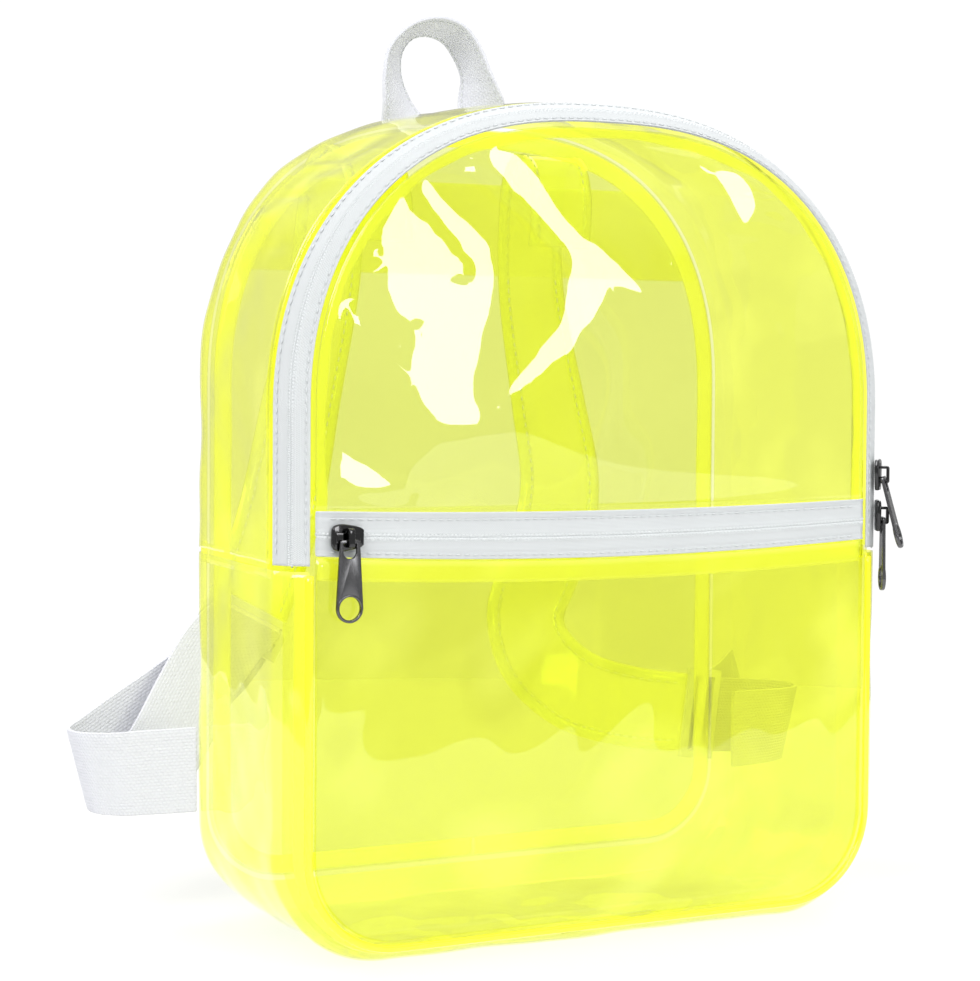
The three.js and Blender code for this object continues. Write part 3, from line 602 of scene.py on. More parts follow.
class BagSizes(PropertyGroup):
    film_wall: millimetres("Film wall", "Thickness of the film", 0.6, 0.3, 1.5)
    tape_wall: millimetres("Tape wall", "Thickness of the zip tape", 0.8, 0.4, 1.5)
    stitch_pitch: millimetres("Stitch pitch", "Distance from stitch to stitch", 3.4, 2, 6)
    hem_width: millimetres("Hem width", "Width of the folded film beside the zips", 4.2, 2, 12)


class BACKPACK_OT_finishes(Operator):
    """Makes the node groups and the finishes"""
    bl_idname = "backpack.finishes"
    bl_label = "Make finishes"

    def execute(self, context):
        colours = context.scene.bag_colours
        for make_group in (make_weave_group, make_ripple_group, make_painted_sheen_group, make_grain_group):
            make_group()
        outer, inner, body, seam, tape, webbing, metal = (
            tuple(c) for c in (
                colours.outer_tint, colours.inner_tint, colours.film_body, colours.seam_body, colours.tape,
                colours.webbing, colours.metal))
        dense = shaded(inner, (1.0, 1.0, 0.40))
        side = shaded([mix(a, b, 0.5) for a, b in zip(outer, inner)], (1.0, 1.0, 0.86))
        pocket = shaded(outer, (0.99, 0.99, 0.80))
        # The glow numbers below give these films painted glow; the sheen numbers give them painted sheen
        # streaks
        make_film("clear_film", outer, body, 0.07, painted_sheen_strength=0.3)
        make_film("pocket_film", pocket, body, 0.10, painted_sheen_strength=1.1)
        make_film("inner_film", inner, body, 0.08)
        make_film("doubled_film", dense, body, 0.16, painted_glow=0.45)
        make_film("crinkled_film", side, body, 0.20, 0.35, 0.5, ripple=0.0014, ripple_scale=34.0, gloss=0.05)
        make_film("side_film", side, body, 0.19, 0.38, 0.5, ripple=0.0010, ripple_scale=28.0, gloss=0.05)
        make_film("hem_film", dense, body, 0.34, painted_glow=0.60)
        make_film("seam_film", dense, seam, 0.55, painted_glow=0.35)
        make_film("strap_film", dense, body, 0.46, painted_glow=0.36)
        make_fabric("zip_tape_cloth", shaded(tape, 0.86), tape, 0.0005, 0.0009, 0.00012)
        make_fabric("coil_nylon", shaded(tape, 0.92), tape, 0.0008, 0.0011, 0.00008, 0.0, 0.5)
        make_fabric("webbing_cloth", shaded(webbing, 0.94), webbing, 0.0012, 0.0016, 0.0002, 0.3)
        make_fabric("stitch_thread", shaded(tape, 0.9), shaded(tape, 1.1), 0.0004, 0.0004, 0.0001)
        make_hard("gunmetal", shaded(metal, 0.94), shaded(metal, 1.06), 1.0, 0.20, 0.26, 0.000008)
        black = shaded(metal, 0.25)
        make_hard("polished_metal", black, shaded(black, 1.3), 1.0, 0.08, 0.12, 0.000004, 0.6)
        make_hard("slide_plastic", (0.72, 0.74, 0.74), (0.80, 0.81, 0.81), 0.0, 0.32, 0.5, 0.00002)
        return {"FINISHED"}


# Front film: creases that turn the film towards the softbox, in millimetres

CAMERA_AT = np.array([-433.90, -793.02, 207.44])
SOFTBOX_AT = np.array([300.0, -1600.0, 440.0])
SOFTBOX_SIZE = 320.0
SOFTBOX_POWER = 2.4
CREASE_CELLS = 256
CREASE_SPAN = 256.0
CREASE_X = -CREASE_SPAN / 2
CREASE_Z = 110.0
CREASE_ROUNDS = 160
CLEAR_SLOPE = 0.09
STEEPEST = 0.28
SEAM_FADE = 7.0
WINDOW_BULGE = 2.0

# Bright creases of the front film as runs of points: x, z and half width
CREASES = [
    [(-82.5, 270.5, 0.6), (-83.5, 262, 4), (-84, 256.5, 7.5), (-79, 250, 10), (-75, 244.5, 11),
     (-79, 239, 8.5), (-78, 234, 8), (-70, 230.5, 5)],
    [(-96.5, 257.8, 0.5), (-88, 256.5, 2)],
    [(-72, 247, 4), (-60.3, 244.2, 0.5)],
    [(-78.3, 281, 0.5), (-74.6, 274.2, 1.3), (-69.7, 266.4, 2.1), (-63.9, 260.1, 2.6), (-58.1, 254.5, 3.1),
     (-53.2, 249.5, 3.3), (-52.2, 244.4, 2.8), (-52.4, 237.8, 3.4), (-57, 229, 6)],
    [(-66, 229, 8), (-63.4, 227.6, 10.5), (-64.2, 221.3, 10.5), (-65.3, 214.6, 10.4), (-68.5, 209.5, 11),
     (-67, 203.5, 10), (-64.5, 197.5, 8), (-58.5, 194, 4.5), (-52.3, 192.6, 0.6)],
    [(-47.5, 288, 2), (-45.1, 283.6, 3.6), (-39.2, 278, 4.1), (-34.1, 273, 4.2), (-29, 266.6, 3.2),
     (-23.8, 260.8, 2.2), (-18.6, 255.8, 2.4), (-14, 250, 4), (-11, 243.5, 7), (-13.5, 236.5, 7),
     (-15.5, 230.5, 5.6), (-18.6, 225.1, 3.8),
     (-21.7, 219.8, 4), (-26.8, 216, 3.4), (-31.9, 210.7, 2.9), (-36.9, 206.2, 2.4), (-41.1, 202.5, 1.9),
     (-44.4, 198.8, 1), (-47.7, 195.8, 1.9), (-51, 192.9, 0.6)],
    [(-13, 250, 4.4), (-6.4, 245, 4.4), (1.5, 241, 2.4), (9.5, 237.1, 0.5)],
    [(-56.2, 283.2, 1.9), (-56.2, 283.0, 1.9)],
    [(-83.8, 216.4, 1.2), (-83.8, 216.2, 1.2)],
    [(37.5, 291, 0.7), (43.8, 286.6, 2.4), (50.8, 281, 4.2), (55.5, 275.3, 4.8), (57.6, 269.7, 4),
     (57.2, 263.4, 0.8)],
    [(-107.5, 179, 0.6), (-103, 175.2, 3), (-96.5, 171.2, 4), (-90, 168.8, 2.6), (-85.2, 167.6, 0.6)],
    [(-76.7, 164.4, 1.5), (-76.5, 164.2, 1.5)],
    [(22, 249, 0.9), (21.7, 245.5, 0.9)],
]


def film_slopes(x, z):
    """Slopes of the front film, outward over x and over z, that mirror the softbox into the camera."""
    at = np.stack([x, np.full_like(x, FRONT_Y), z], axis=-1)
    normal = unit(unit(SOFTBOX_AT - at) - unit(at - CAMERA_AT))
    return normal[..., 0] / normal[..., 1], normal[..., 2] / normal[..., 1]


def in_creases(x, z):
    """True where a point lies inside one of the bright creases."""
    found = np.zeros(x.shape, bool)
    for run in CREASES:
        for (x0, z0, w0), (x1, z1, w1) in zip(run, run[1:]):
            length = max((x1 - x0) ** 2 + (z1 - z0) ** 2, 1e-9)
            t = np.clip(((x - x0) * (x1 - x0) + (z - z0) * (z1 - z0)) / length, 0, 1)
            found |= np.hypot(x - x0 - t * (x1 - x0), z - z0 - t * (z1 - z0)) < w0 + t * (w1 - w0)
    return found


def window_room(x, z):
    """Distance in millimetres, roughly, from a point to the edge of the front film; negative outside it."""
    outline = inset(station(0.0), SEAM_GAP)
    aside = half_width_at(outline, z) - np.abs(x)
    above = crown_height_at(outline, x) - z
    below = z - POCKET_ZIP_TOP_Z + POCKET_ZIP_TOP_SAG * (1 - (x / outline["half"]) ** 2)
    return np.minimum(np.minimum(aside, above), below)


def crease_heights():
    """Heights of the front film on a square grid: only inside the creases it mirrors the softbox."""
    step = CREASE_SPAN / CREASE_CELLS
    line = (np.arange(CREASE_CELLS) + 0.5) * step
    x, z = np.meshgrid(CREASE_X + line, CREASE_Z + line)
    room = window_room(x, z)
    fade = smoothstep(0, SEAM_FADE, room)
    seen = room > 0.5
    lit = in_creases(x, z) & seen
    want_x, want_z = film_slopes(x, z)
    wave = 2 * math.pi * np.fft.fftfreq(CREASE_CELLS, step)
    wave_x, wave_z = np.meshgrid(wave, wave)
    square = wave_x ** 2 + wave_z ** 2
    square[0, 0] = 1
    soften = np.exp(-square * 0.18)
    middle = (POCKET_ZIP_TOP_Z + HEIGHT * STATIONS[0][3]) / 2
    height = WINDOW_BULGE * bell(x / 95) * bell((z - middle) / 60)
    for _ in range(CREASE_ROUNDS):
        spectrum = np.fft.fft2(height * fade) * soften
        slope_x = np.real(np.fft.ifft2(1j * wave_x * spectrum))
        slope_z = np.real(np.fft.ifft2(1j * wave_z * spectrum))
        off_x, off_z = slope_x - want_x, slope_z - want_z
        far = np.maximum(np.hypot(off_x, off_z), 1e-6)
        push = np.where((far < CLEAR_SLOPE) & seen & ~lit, CLEAR_SLOPE / far, 1)
        slope_x, slope_z = want_x + off_x * push, want_z + off_z * push
        slope_x, slope_z = np.where(lit, want_x, slope_x), np.where(lit, want_z, slope_z)
        steep = np.minimum(STEEPEST / np.maximum(np.hypot(slope_x, slope_z), 1e-6), 1)
        field = wave_x * np.fft.fft2(slope_x * steep) + wave_z * np.fft.fft2(slope_z * steep)
        height = np.real(np.fft.ifft2(-1j * field / square))
        height = height - height[~seen].mean()
    return np.real(np.fft.ifft2(np.fft.fft2(height * fade) * soften))


def sample_grid(grid, x, z):
    """Reads the crease grid between its cells."""
    step = CREASE_SPAN / CREASE_CELLS
    column = np.clip((x - CREASE_X) / step - 0.5, 0, CREASE_CELLS - 1.001)
    row = np.clip((z - CREASE_Z) / step - 0.5, 0, CREASE_CELLS - 1.001)
    i, j = column.astype(int), row.astype(int)
    a, b = column - i, row - j
    low = mix(grid[j, i], grid[j, i + 1], a)
    high = mix(grid[j + 1, i], grid[j + 1, i + 1], a)
    return mix(low, high, b)


# Panels

def ease_top(v):
    return 1 - (1 - v) ** 1.7


def ease_bottom(v):
    return v ** 1.5


def ease_both(v):
    return v - 0.1 * np.sin(2 * math.pi * v)


def panel_sheet(outline, y, low, high, facing, sag_low=0.0, sag_high=0.0, ease=None, soft=None, raised=0.0):
    """An upright panel inside an outline; facing -1 looks to the front, +1 to the back."""
    def place(u, v):
        row = mix(low, high, v if ease is None else ease(v))
        across = (1 - 2 * u) * facing
        x = across * half_width_at(outline, row)
        share = (row - low) / (high - low)
        drop = mix(sag_low, sag_high, share) * (1 - across ** 2)
        edge = (1 - across ** 2) * np.sin(math.pi * np.clip(share, 0, 1))
        height = raised + (0 if soft is None else soft(x, row, edge))
        return np.stack([x, y + facing * height + 0 * x, row - drop], axis=-1)
    return place


# Soft dents and bulges: x and z as shares of half the width and of the height, both reaches, depth in mm
POCKET_DENTS = [
    (-0.35, 0.22, 0.30, 0.10, -1.8),
    (0.25, 0.30, 0.16, 0.14, 1.6),
    (0.60, 0.18, 0.20, 0.10, -1.6),
    (-0.70, 0.36, 0.14, 0.16, 1.2),
]
BACK_DENTS = [
    (0.00, 0.45, 0.60, 0.25, -2.0),
    (0.50, 0.25, 0.25, 0.12, 1.5),
]
POCKET_WAVES = [(0.25, 61, 900, 93, 0.4), (0.16, 37, 900, -71, 1.7), (0.10, -29, 900, 43, 2.9)]
BACK_WAVES = [(0.30, 83, 900, 117, 0.9), (0.18, -47, 900, 71, 2.1)]
GUSSET_WAVES = [(0.35, 97, 61, 83, 0.2), (0.20, -53, 37, 47, 1.3), (0.12, 31, -23, 29, 2.2)]


def dent_depth(dents, x, z):
    total = 0
    for at_x, at_z, reach_x, reach_z, depth in dents:
        total = total + depth * bell((x / (WIDTH / 2) - at_x) / reach_x) * bell((z / HEIGHT - at_z) / reach_z)
    return total


def soft_panel(bulge, dents, waves):
    def soft(x, z, edge):
        points = np.stack([x, 0 * x, z], axis=-1)
        return edge * (bulge - dent_depth(dents, x, z)) + np.minimum(3 * edge, 1) * ripples(points, waves)
    return soft


CREASE_MAP = []


def crease_map():
    if not CREASE_MAP:
        CREASE_MAP.append(crease_heights())
    return CREASE_MAP[0]


def front_seam():
    return inset(station(0.0), SEAM_GAP)


def back_seam():
    return inset(station(3.0), SEAM_GAP)


class BACKPACK_OT_front_films(Operator):
    """Adds the front window, the pocket and the divider behind it"""
    bl_idname = "backpack.front_films"
    bl_label = "Add front films"

    def execute(self, context):
        sizes = context.scene.bag_sizes
        film = finish_of("clear_film")
        heights = crease_map()
        seam = front_seam()
        top = float(seam["top"]) - 0.6

        def creased(x, z, edge):
            return sample_grid(heights, x, z)

        window = panel_sheet(
            seam, FRONT_Y, POCKET_ZIP_TOP_Z + GAP, top, -1, sag_low=POCKET_ZIP_TOP_SAG, ease=ease_top,
            soft=creased)
        piece = grid_piece("window_film", 210, 150, window, film, sizes.film_wall)
        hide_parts("front_window")
        pocket = panel_sheet(
            seam, FRONT_Y, float(seam["base"]), POCKET_ZIP_BOTTOM_Z - GAP, -1, sag_high=POCKET_ZIP_BOTTOM_SAG,
            ease=ease_bottom, soft=soft_panel(4.0, POCKET_DENTS, POCKET_WAVES))
        piece = grid_piece("pocket_film", 90, 60, pocket, finish_of("pocket_film"), sizes.film_wall)
        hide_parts("pocket_panel")
        behind = station(0.85)
        divider = panel_sheet(
            inset(behind, 2.4), float(behind["y"]), float(behind["base"]) + 2.4, POCKET_ZIP_TOP_Z, -1,
            ease=ease_bottom, soft=soft_panel(-2.0, [], BACK_WAVES))
        piece = grid_piece("divider_film", 60, 50, divider, finish_of("inner_film"), sizes.film_wall)
        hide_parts("pocket_divider")
        return {"FINISHED"}


class BACKPACK_OT_back_films(Operator):
    """Adds the back panel, its yoke and the turned-in edge of the back seam"""
    bl_idname = "backpack.back_films"
    bl_label = "Add back films"

    def execute(self, context):
        sizes = context.scene.bag_sizes
        film = finish_of("clear_film")
        seam = back_seam()
        soft = soft_panel(0.0, BACK_DENTS, BACK_WAVES)
        low, high = float(seam["base"]), float(seam["top"]) - 0.6
        piece = grid_piece(
            "back_film", 80, 110, panel_sheet(seam, BACK_Y, low, high, 1, ease=ease_both, soft=soft), film,
            sizes.film_wall)
        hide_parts("back_panel")
        yoke = panel_sheet(inset(seam, 0.5), BACK_Y + 1.2 + GAP, 0.797 * HEIGHT, 0.915 * HEIGHT, 1)
        piece = grid_piece("yoke_film", 60, 18, yoke, finish_of("doubled_film"), sizes.film_wall)
        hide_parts("back_yoke")

        def allowance(u, v):
            edge = inset(seam, mix(1.2, 8.0, v))
            x, z = outline_point(edge, mix(SPLIT_GAP, 2 - SPLIT_GAP, u))
            waviness = 0.25 * np.sin(u * 90) * v
            return np.stack([x, BACK_Y - 1.2 - 2 * GAP - waviness - 0 * x, z], axis=-1)

        hem = finish_of("hem_film")
        piece = grid_piece("seam_allowance_film", 260, 4, allowance, hem, ALLOWANCE_WALL, outward=False)
        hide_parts("back_seam_allowance")
        return {"FINISHED"}


class BACKPACK_OT_gusset_films(Operator):
    """Adds the lower and upper gussets and the lapped seams between them"""
    bl_idname = "backpack.gusset_films"
    bl_label = "Add gusset films"

    def execute(self, context):
        sizes = context.scene.bag_sizes

        def waves_on(start, end, front, back):
            def shape(u, v):
                points = form_point(mix(start, end, u), mix(front, back, v))
                return np.sin(math.pi * v) * ripples(points, GUSSET_WAVES)
            return shape

        runs = [
            ("gusset_lower", SPLIT_GAP - SPLIT, SPLIT - SPLIT_GAP, 0.06, 200, 48, "side_film"),
            ("gusset_upper", SPLIT + SPLIT_GAP, 2 - SPLIT - SPLIT_GAP, 1.05, 320, 44, "crinkled_film"),
        ]
        back = 2.94
        for name, start, end, front, columns, rows, finish in runs:
            waves = waves_on(start, end, front, back)
            sheet = form_sheet(start, end, front, back, folded=True, shape=waves)
            piece = grid_piece(f"{name}_film", columns, rows, sheet, finish_of(finish), sizes.film_wall)
            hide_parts(name)
        for side, at in (("right", SPLIT), ("left", 2 - SPLIT)):
            lap = form_sheet(at - 0.007, at + 0.007, 1.04, 2.93, raised=-0.9, folded=True)
            hem = finish_of("hem_film")
            piece = grid_piece(f"gusset_lap_{side}", 4, 40, lap, hem, LAP_WALL, outward=False)
        return {"FINISHED"}


class BACKPACK_OT_seams(Operator):
    """Adds the ridge along the front seam and the folded hems beside the zips"""
    bl_idname = "backpack.seams"
    bl_label = "Add seams and hems"

    def execute(self, context):
        sizes = context.scene.bag_sizes
        hem = finish_of("hem_film")
        start, end = 0.004 - SPLIT, SPLIT - 0.004

        def ridge(u, v):
            place = mix(start, end, u)
            turn = v * 2 * math.pi
            through = np.full_like(u, 0.08)
            normal = form_normal(place, through)
            along = unit(form_point(place + 0.004, through) - form_point(place - 0.004, through))
            aside = np.cross(normal, along)
            middle = form_point(place, through) + normal * 1.0
            return middle + normal * (1.0 * np.sin(turn))[:, None] + aside * (1.5 * np.cos(turn))[:, None]

        piece = grid_piece("front_seam_ridge", 240, 12, ridge, finish_of("seam_film"), 0, outward=False)
        close_tube(piece)
        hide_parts("front_seam_piping")
        seam = front_seam()
        heights = crease_map()
        width = sizes.hem_width

        def window_hem(u, v):
            edge = inset(seam, mix(0.6, width * (1 + 0.09 * np.sin(47 * u) + 0.06 * np.sin(113 * u)), v))
            x, z = outline_point(edge, mix(SPLIT + 0.035, 2 - SPLIT - 0.035, u))
            return np.stack([x, FRONT_Y - sample_grid(heights, x, z) + 1.0 + 0 * x, z], axis=-1)

        piece = grid_piece("window_hem", 240, 4, window_hem, hem, HEM_WALL, outward=False)
        top = POCKET_ZIP_BOTTOM_Z - GAP
        soft = soft_panel(4.0, POCKET_DENTS, POCKET_WAVES)
        whole = top - float(seam["base"])

        def pocket_hem(u, v):
            row = mix(top - 8.0, top, v)
            across = 1 - 2 * u
            x = across * (half_width_at(seam, row) - 0.8)
            share = (row - float(seam["base"])) / whole
            edge = (1 - across ** 2) * np.sin(math.pi * np.clip(share, 0, 1))
            drop = POCKET_ZIP_BOTTOM_SAG * share * (1 - across ** 2)
            return np.stack([x, FRONT_Y - soft(x, row, edge) + 1.0, row - drop], axis=-1)

        piece = grid_piece("pocket_hem", 90, 6, pocket_hem, hem, HEM_WALL, outward=False)
        allowance = form_sheet(SPLIT_GAP - SPLIT, SPLIT - SPLIT_GAP, 0.12, 0.44, raised=-0.9, folded=True)
        piece = grid_piece("front_seam_allowance", 240, 6, allowance, hem, LAP_WALL, outward=False)
        lip = form_sheet(SPLIT + SPLIT_GAP, 2 - SPLIT - SPLIT_GAP, 0.9, 1.12, raised=-1.5)
        piece = grid_piece("gusset_hem", 300, 5, lip, hem, LAP_WALL, outward=False)
        return {"FINISHED"}


def close_tube(piece):
    """Joins a rolled grid's long edges and caps its ends."""
    bm = bmesh.new()
    bm.from_mesh(piece.data)
    bmesh.ops.remove_doubles(bm, verts=bm.verts, dist=0.00002)
    rims = [e for e in bm.edges if e.is_boundary]
    bmesh.ops.holes_fill(bm, edges=rims, sides=0)
    bmesh.ops.recalc_face_normals(bm, faces=bm.faces)
    bm.to_mesh(piece.data)
    bm.free()


# Zips

TAPE_LAP = 0.35


def tape_relief(edge, seam):
    """Cross-section of a tape: a selvedge ridge at edge, a sewn groove beside it and a rise at the coil."""
    def shape(u, v):
        away = np.abs(v - edge)
        rims = 0.30 * bell((away - 0.05) / 0.05) + 0.22 * bell((away - 0.97) / 0.10)
        return rims - 0.28 * bell((away - seam) / 0.035)
    return shape


def coil_relief(teeth):
    """Two rows of nylon coils that meet in the middle."""
    def shape(u, v):
        rows = np.abs(np.sin(2 * math.pi * v)) ** 0.5
        turn = 2 * math.pi * teeth * u + math.pi * (v > 0.5)
        return 0.45 * rows + 0.20 * rows * np.cos(turn)
    return shape


class BACKPACK_OT_main_zip(Operator):
    """Adds the two tapes and the coil of the arched zip"""
    bl_idname = "backpack.main_zip"
    bl_label = "Add main zip"

    def execute(self, context):
        sizes = context.scene.bag_sizes
        start, end = SPLIT + SPLIT_GAP, 2 - SPLIT - SPLIT_GAP
        tape = finish_of("zip_tape_cloth")
        parts = [
            ("main_zip_inner_tape", 0.07, 0.455, 0.0, tape_relief(0.0, 0.28), 340, 20, tape, sizes.tape_wall),
            ("main_zip_outer_tape", 0.565, 0.99, 0.0, tape_relief(1.0, 0.28), 340, 20, tape, sizes.tape_wall),
            ("main_zip_coil", 0.44, 0.58, -0.1, coil_relief(430), 1720, 10, finish_of("coil_nylon"), 1.0),
        ]
        for node, front, back, raised, shape, columns, rows, finish, wall in parts:
            sheet = form_sheet(start, end, front, back, raised=raised, shape=shape)
            piece = grid_piece(f"{node}_woven", columns, rows, sheet, finish, wall)
            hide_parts(node)
        return {"FINISHED"}


class BACKPACK_OT_pocket_zip(Operator):
    """Adds the two tapes and the coil of the straight pocket zip"""
    bl_idname = "backpack.pocket_zip"
    bl_label = "Add pocket zip"

    def execute(self, context):
        sizes = context.scene.bag_sizes
        tape = finish_of("zip_tape_cloth")
        middle = (POCKET_ZIP_TOP_Z + POCKET_ZIP_BOTTOM_Z) / 2 - COIL_DROP
        sag = (POCKET_ZIP_TOP_SAG + POCKET_ZIP_BOTTOM_SAG) / 2
        above, below = middle + COIL_WIDTH / 2, middle - COIL_WIDTH / 2
        parts = [
            ("pocket_zip_upper_tape", above - TAPE_LAP, POCKET_ZIP_TOP_Z, sag, POCKET_ZIP_TOP_SAG,
             tape_relief(1.0, 0.30), 140, 18, tape, 0.0),
            ("pocket_zip_lower_tape", POCKET_ZIP_BOTTOM_Z, below + TAPE_LAP, POCKET_ZIP_BOTTOM_SAG, sag,
             tape_relief(0.0, 0.35), 140, 16, tape, 0.0),
            ("pocket_zip_coil", below, above, sag, sag,
             coil_relief(165), 660, 10, finish_of("coil_nylon"), -0.1),
        ]
        for node, low, high, sag_low, sag_high, relief, columns, rows, finish, raised in parts:
            sheet = panel_sheet(
                front_seam(), FRONT_Y, low, high, -1, sag_low=sag_low, sag_high=sag_high, raised=raised,
                soft=relief_on_row(low, high, relief))
            piece = grid_piece(f"{node}_woven", columns, rows, sheet, finish, sizes.tape_wall)
            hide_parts(node)
        return {"FINISHED"}


def relief_on_row(low, high, relief):
    """Reads a cross-section by a panel's own height and place."""
    def soft(x, row, edge):
        return relief(0.5 + x / WIDTH, (row - low) / (high - low))
    return soft


# Straps, webbing and handle

# Middle lines of the ribbons as shares of the bag's sizes: x, back, z, half width, and lean in degrees
WEBBING_HALF = 16.0 / WIDTH
STRAP_TOP = [
    (0.159, 0.029, 0.838, 0.056, 90),
    (0.163, 0.030, 0.896, 0.056, 90),
    (0.167, 0.086, 0.942, 0.056, 90),
    (0.171, 0.200, 0.961, 0.058, 90),
    (0.179, 0.314, 0.938, 0.060, 90),
    (0.183, 0.371, 0.870, 0.060, 90),
    (0.191, 0.390, 0.779, 0.062, 90),
]
STRAP_ROWS = {
    "left": [
        *STRAP_TOP,
        (0.227, 0.400, 0.635, 0.068, 88),
        (0.267, 0.381, 0.487, 0.072, 82),
        (0.311, 0.314, 0.409, 0.070, 70),
        (0.335, 0.262, 0.372, 0.066, 62),
    ],
    "right": [
        *STRAP_TOP,
        (0.226, 0.398, 0.634, 0.070, 86),
        (0.249, 0.392, 0.523, 0.076, 90),
        (0.235, 0.378, 0.454, 0.078, 106),
        (0.201, 0.360, 0.393, 0.076, 112),
        (0.172, 0.335, 0.339, 0.074, 97),
        (0.185, 0.300, 0.285, 0.072, 62),
        (0.248, 0.250, 0.236, 0.070, 31),
        (0.343, 0.180, 0.211, 0.068, 12),
        (0.431, 0.125, 0.202, 0.066, 7),
    ],
}
WEBBING_ROWS = {
    "left": [
        (0.538, -0.010, 0.182, WEBBING_HALF, 4),
        (0.594, 0.038, 0.180, WEBBING_HALF, 10),
        (0.629, 0.086, 0.182, WEBBING_HALF, 13),
        (0.633, 0.143, 0.185, WEBBING_HALF, 15),
        (0.602, 0.190, 0.195, WEBBING_HALF, 20),
        (0.534, 0.229, 0.224, WEBBING_HALF, 30),
        (0.458, 0.248, 0.260, WEBBING_HALF, 40),
        (0.402, 0.260, 0.292, WEBBING_HALF, 52),
    ],
    "right": [
        (0.538, -0.010, 0.182, WEBBING_HALF, 4),
        (0.594, 0.038, 0.180, WEBBING_HALF, 10),
        (0.638, 0.095, 0.180, WEBBING_HALF, 14),
        (0.643, 0.145, 0.182, WEBBING_HALF, 14),
        (0.608, 0.181, 0.186, WEBBING_HALF, 12),
        (0.556, 0.171, 0.190, WEBBING_HALF, 10),
    ],
}
WEBBING_ROOT = (-0.067, 0.185)
TAIL_ROWS = {
    "left": [
        (0.402, 0.195, 0.317, WEBBING_HALF, 54),
        (0.450, 0.162, 0.263, WEBBING_HALF, 54),
        (0.494, 0.105, 0.214, WEBBING_HALF, 54),
        (0.520, 0.086, 0.185, WEBBING_HALF, 54),
    ],
    "right": [
        (0.500, 0.190, 0.205, WEBBING_HALF, 0),
        (0.545, 0.245, 0.213, WEBBING_HALF, -8),
        (0.590, 0.280, 0.230, WEBBING_HALF, -18),
    ],
}
# Side of each strap, and the side of its slide on which the tail lies: 1 towards the bag
STRAP_SIDES = (("left", -1, 1), ("right", 1, -1))
WEBBING_WALL = 1.6
WOVEN_WALL = 1.5
STRAP_WALL = 1.0
STRAP_HEM_WALL = 0.3
SLIDE_LENGTH = 16.0
SLIDE_WALL = 2.6
HANDLE_X = -14.0
HANDLE_WIDTH = 20.0
HANDLE_HALF_SPAN = 18.5
HANDLE_HEIGHT = 36.0
HANDLE_ROWS = [
    (-1.08, 0.00, -0.15, 12, 0),
    (-1.18, 0.20, -0.10, 34, 0),
    (-1.24, 0.48, 0.00, 46, 0.02),
    (-1.12, 0.76, 0.10, 52, 0.10),
    (-0.72, 0.95, 0.15, 66, 0.20),
    (-0.22, 1.00, 0.15, 80, 0.24),
    (0.26, 0.93, 0.15, 90, 0.20),
    (0.56, 0.74, 0.10, 96, 0.10),
    (0.74, 0.48, 0.00, 100, 0),
    (0.80, 0.20, -0.10, 128, 0),
    (0.84, 0.00, -0.15, 163, 0),
]


def ribbon_edges(rows, side):
    """The two edge lines of a ribbon from its rows of x, back, z, half width and lean."""
    lines = []
    for sign in (-1, 1):
        line = []
        for x, back, z, half, lean in rows:
            a = math.radians(lean)
            reach = sign * half * WIDTH
            aside, up = reach * math.sin(a), reach * math.cos(a)
            line.append((side * (x * WIDTH + aside), BACK_Y + back * DEPTH, z * HEIGHT + up))
        lines.append(np.array(line))
    return lines


def beyond_strap(name, distance, forward=0.0):
    """A place along a strap's run beyond its end, as a ribbon row."""
    x, back, z, _, lean = STRAP_ROWS[name][-1]
    a = math.radians(lean)
    return (x + distance * math.cos(a) / WIDTH, back - forward / DEPTH, z - distance * math.sin(a) / HEIGHT,
            WEBBING_HALF, lean)


def webbing_rows(name):
    root = ((float(station(2.0)["half"]) + GAP + WEBBING_WALL / 3) / WIDTH, *WEBBING_ROOT, WEBBING_HALF, 0)
    return [root, *WEBBING_ROWS[name], beyond_strap(name, SLIDE_LENGTH + 2 * GAP)]


def tail_rows(name, tail_side):
    lift = (SLIDE_WALL + WEBBING_WALL) / 2 + GAP
    return [beyond_strap(name, SLIDE_LENGTH / 3, tail_side * lift), *TAIL_ROWS[name]]


def handle_edges():
    lines = []
    crown = station(2.4)
    for sign in (-1, 1):
        line = []
        for span, rise, back, turn, tilt in HANDLE_ROWS:
            a = math.radians(turn)
            reach = sign * HANDLE_WIDTH / 2
            x = HANDLE_X + span * HANDLE_HALF_SPAN + reach * math.cos(a)
            foot = float(crown_height_at(crown, x)) + GAP
            z = foot + rise * HANDLE_HEIGHT - tilt * reach
            line.append((x, BACK_Y + back * HANDLE_WIDTH + reach * math.sin(a), z))
        lines.append(np.array(line))
    return lines


def webbing_relief(u, v):
    """Thicker selvedges at both edges of a woven band."""
    return 0.12 * (bell(v / 0.05) + bell((1 - v) / 0.05))


class BACKPACK_OT_straps(Operator):
    """Adds the two shoulder straps with their folded edges"""
    bl_idname = "backpack.straps"
    bl_label = "Add shoulder straps"

    def execute(self, context):
        for name, side, _ in STRAP_SIDES:
            left, right = ribbon_edges(STRAP_ROWS[name], side)
            piece = grid_piece(
                f"shoulder_strap_{name}_film", 160, 12, ribbon_sheet(left, right), finish_of("strap_film"),
                STRAP_WALL, outward=False, offset=0.0)
            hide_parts(f"shoulder_strap_{name}")
            for edge, margin in (("inner", (0.01, 0.16)), ("outer", (0.84, 0.99))):
                for face, lift in (("front", -0.75), ("back", 0.75)):
                    hem = grid_piece(
                        f"strap_hem_{name}_{edge}_{face}", 160, 2, ribbon_sheet(left, right, lift, margin),
                        finish_of("doubled_film"), STRAP_HEM_WALL, outward=False, offset=0.0)
        return {"FINISHED"}


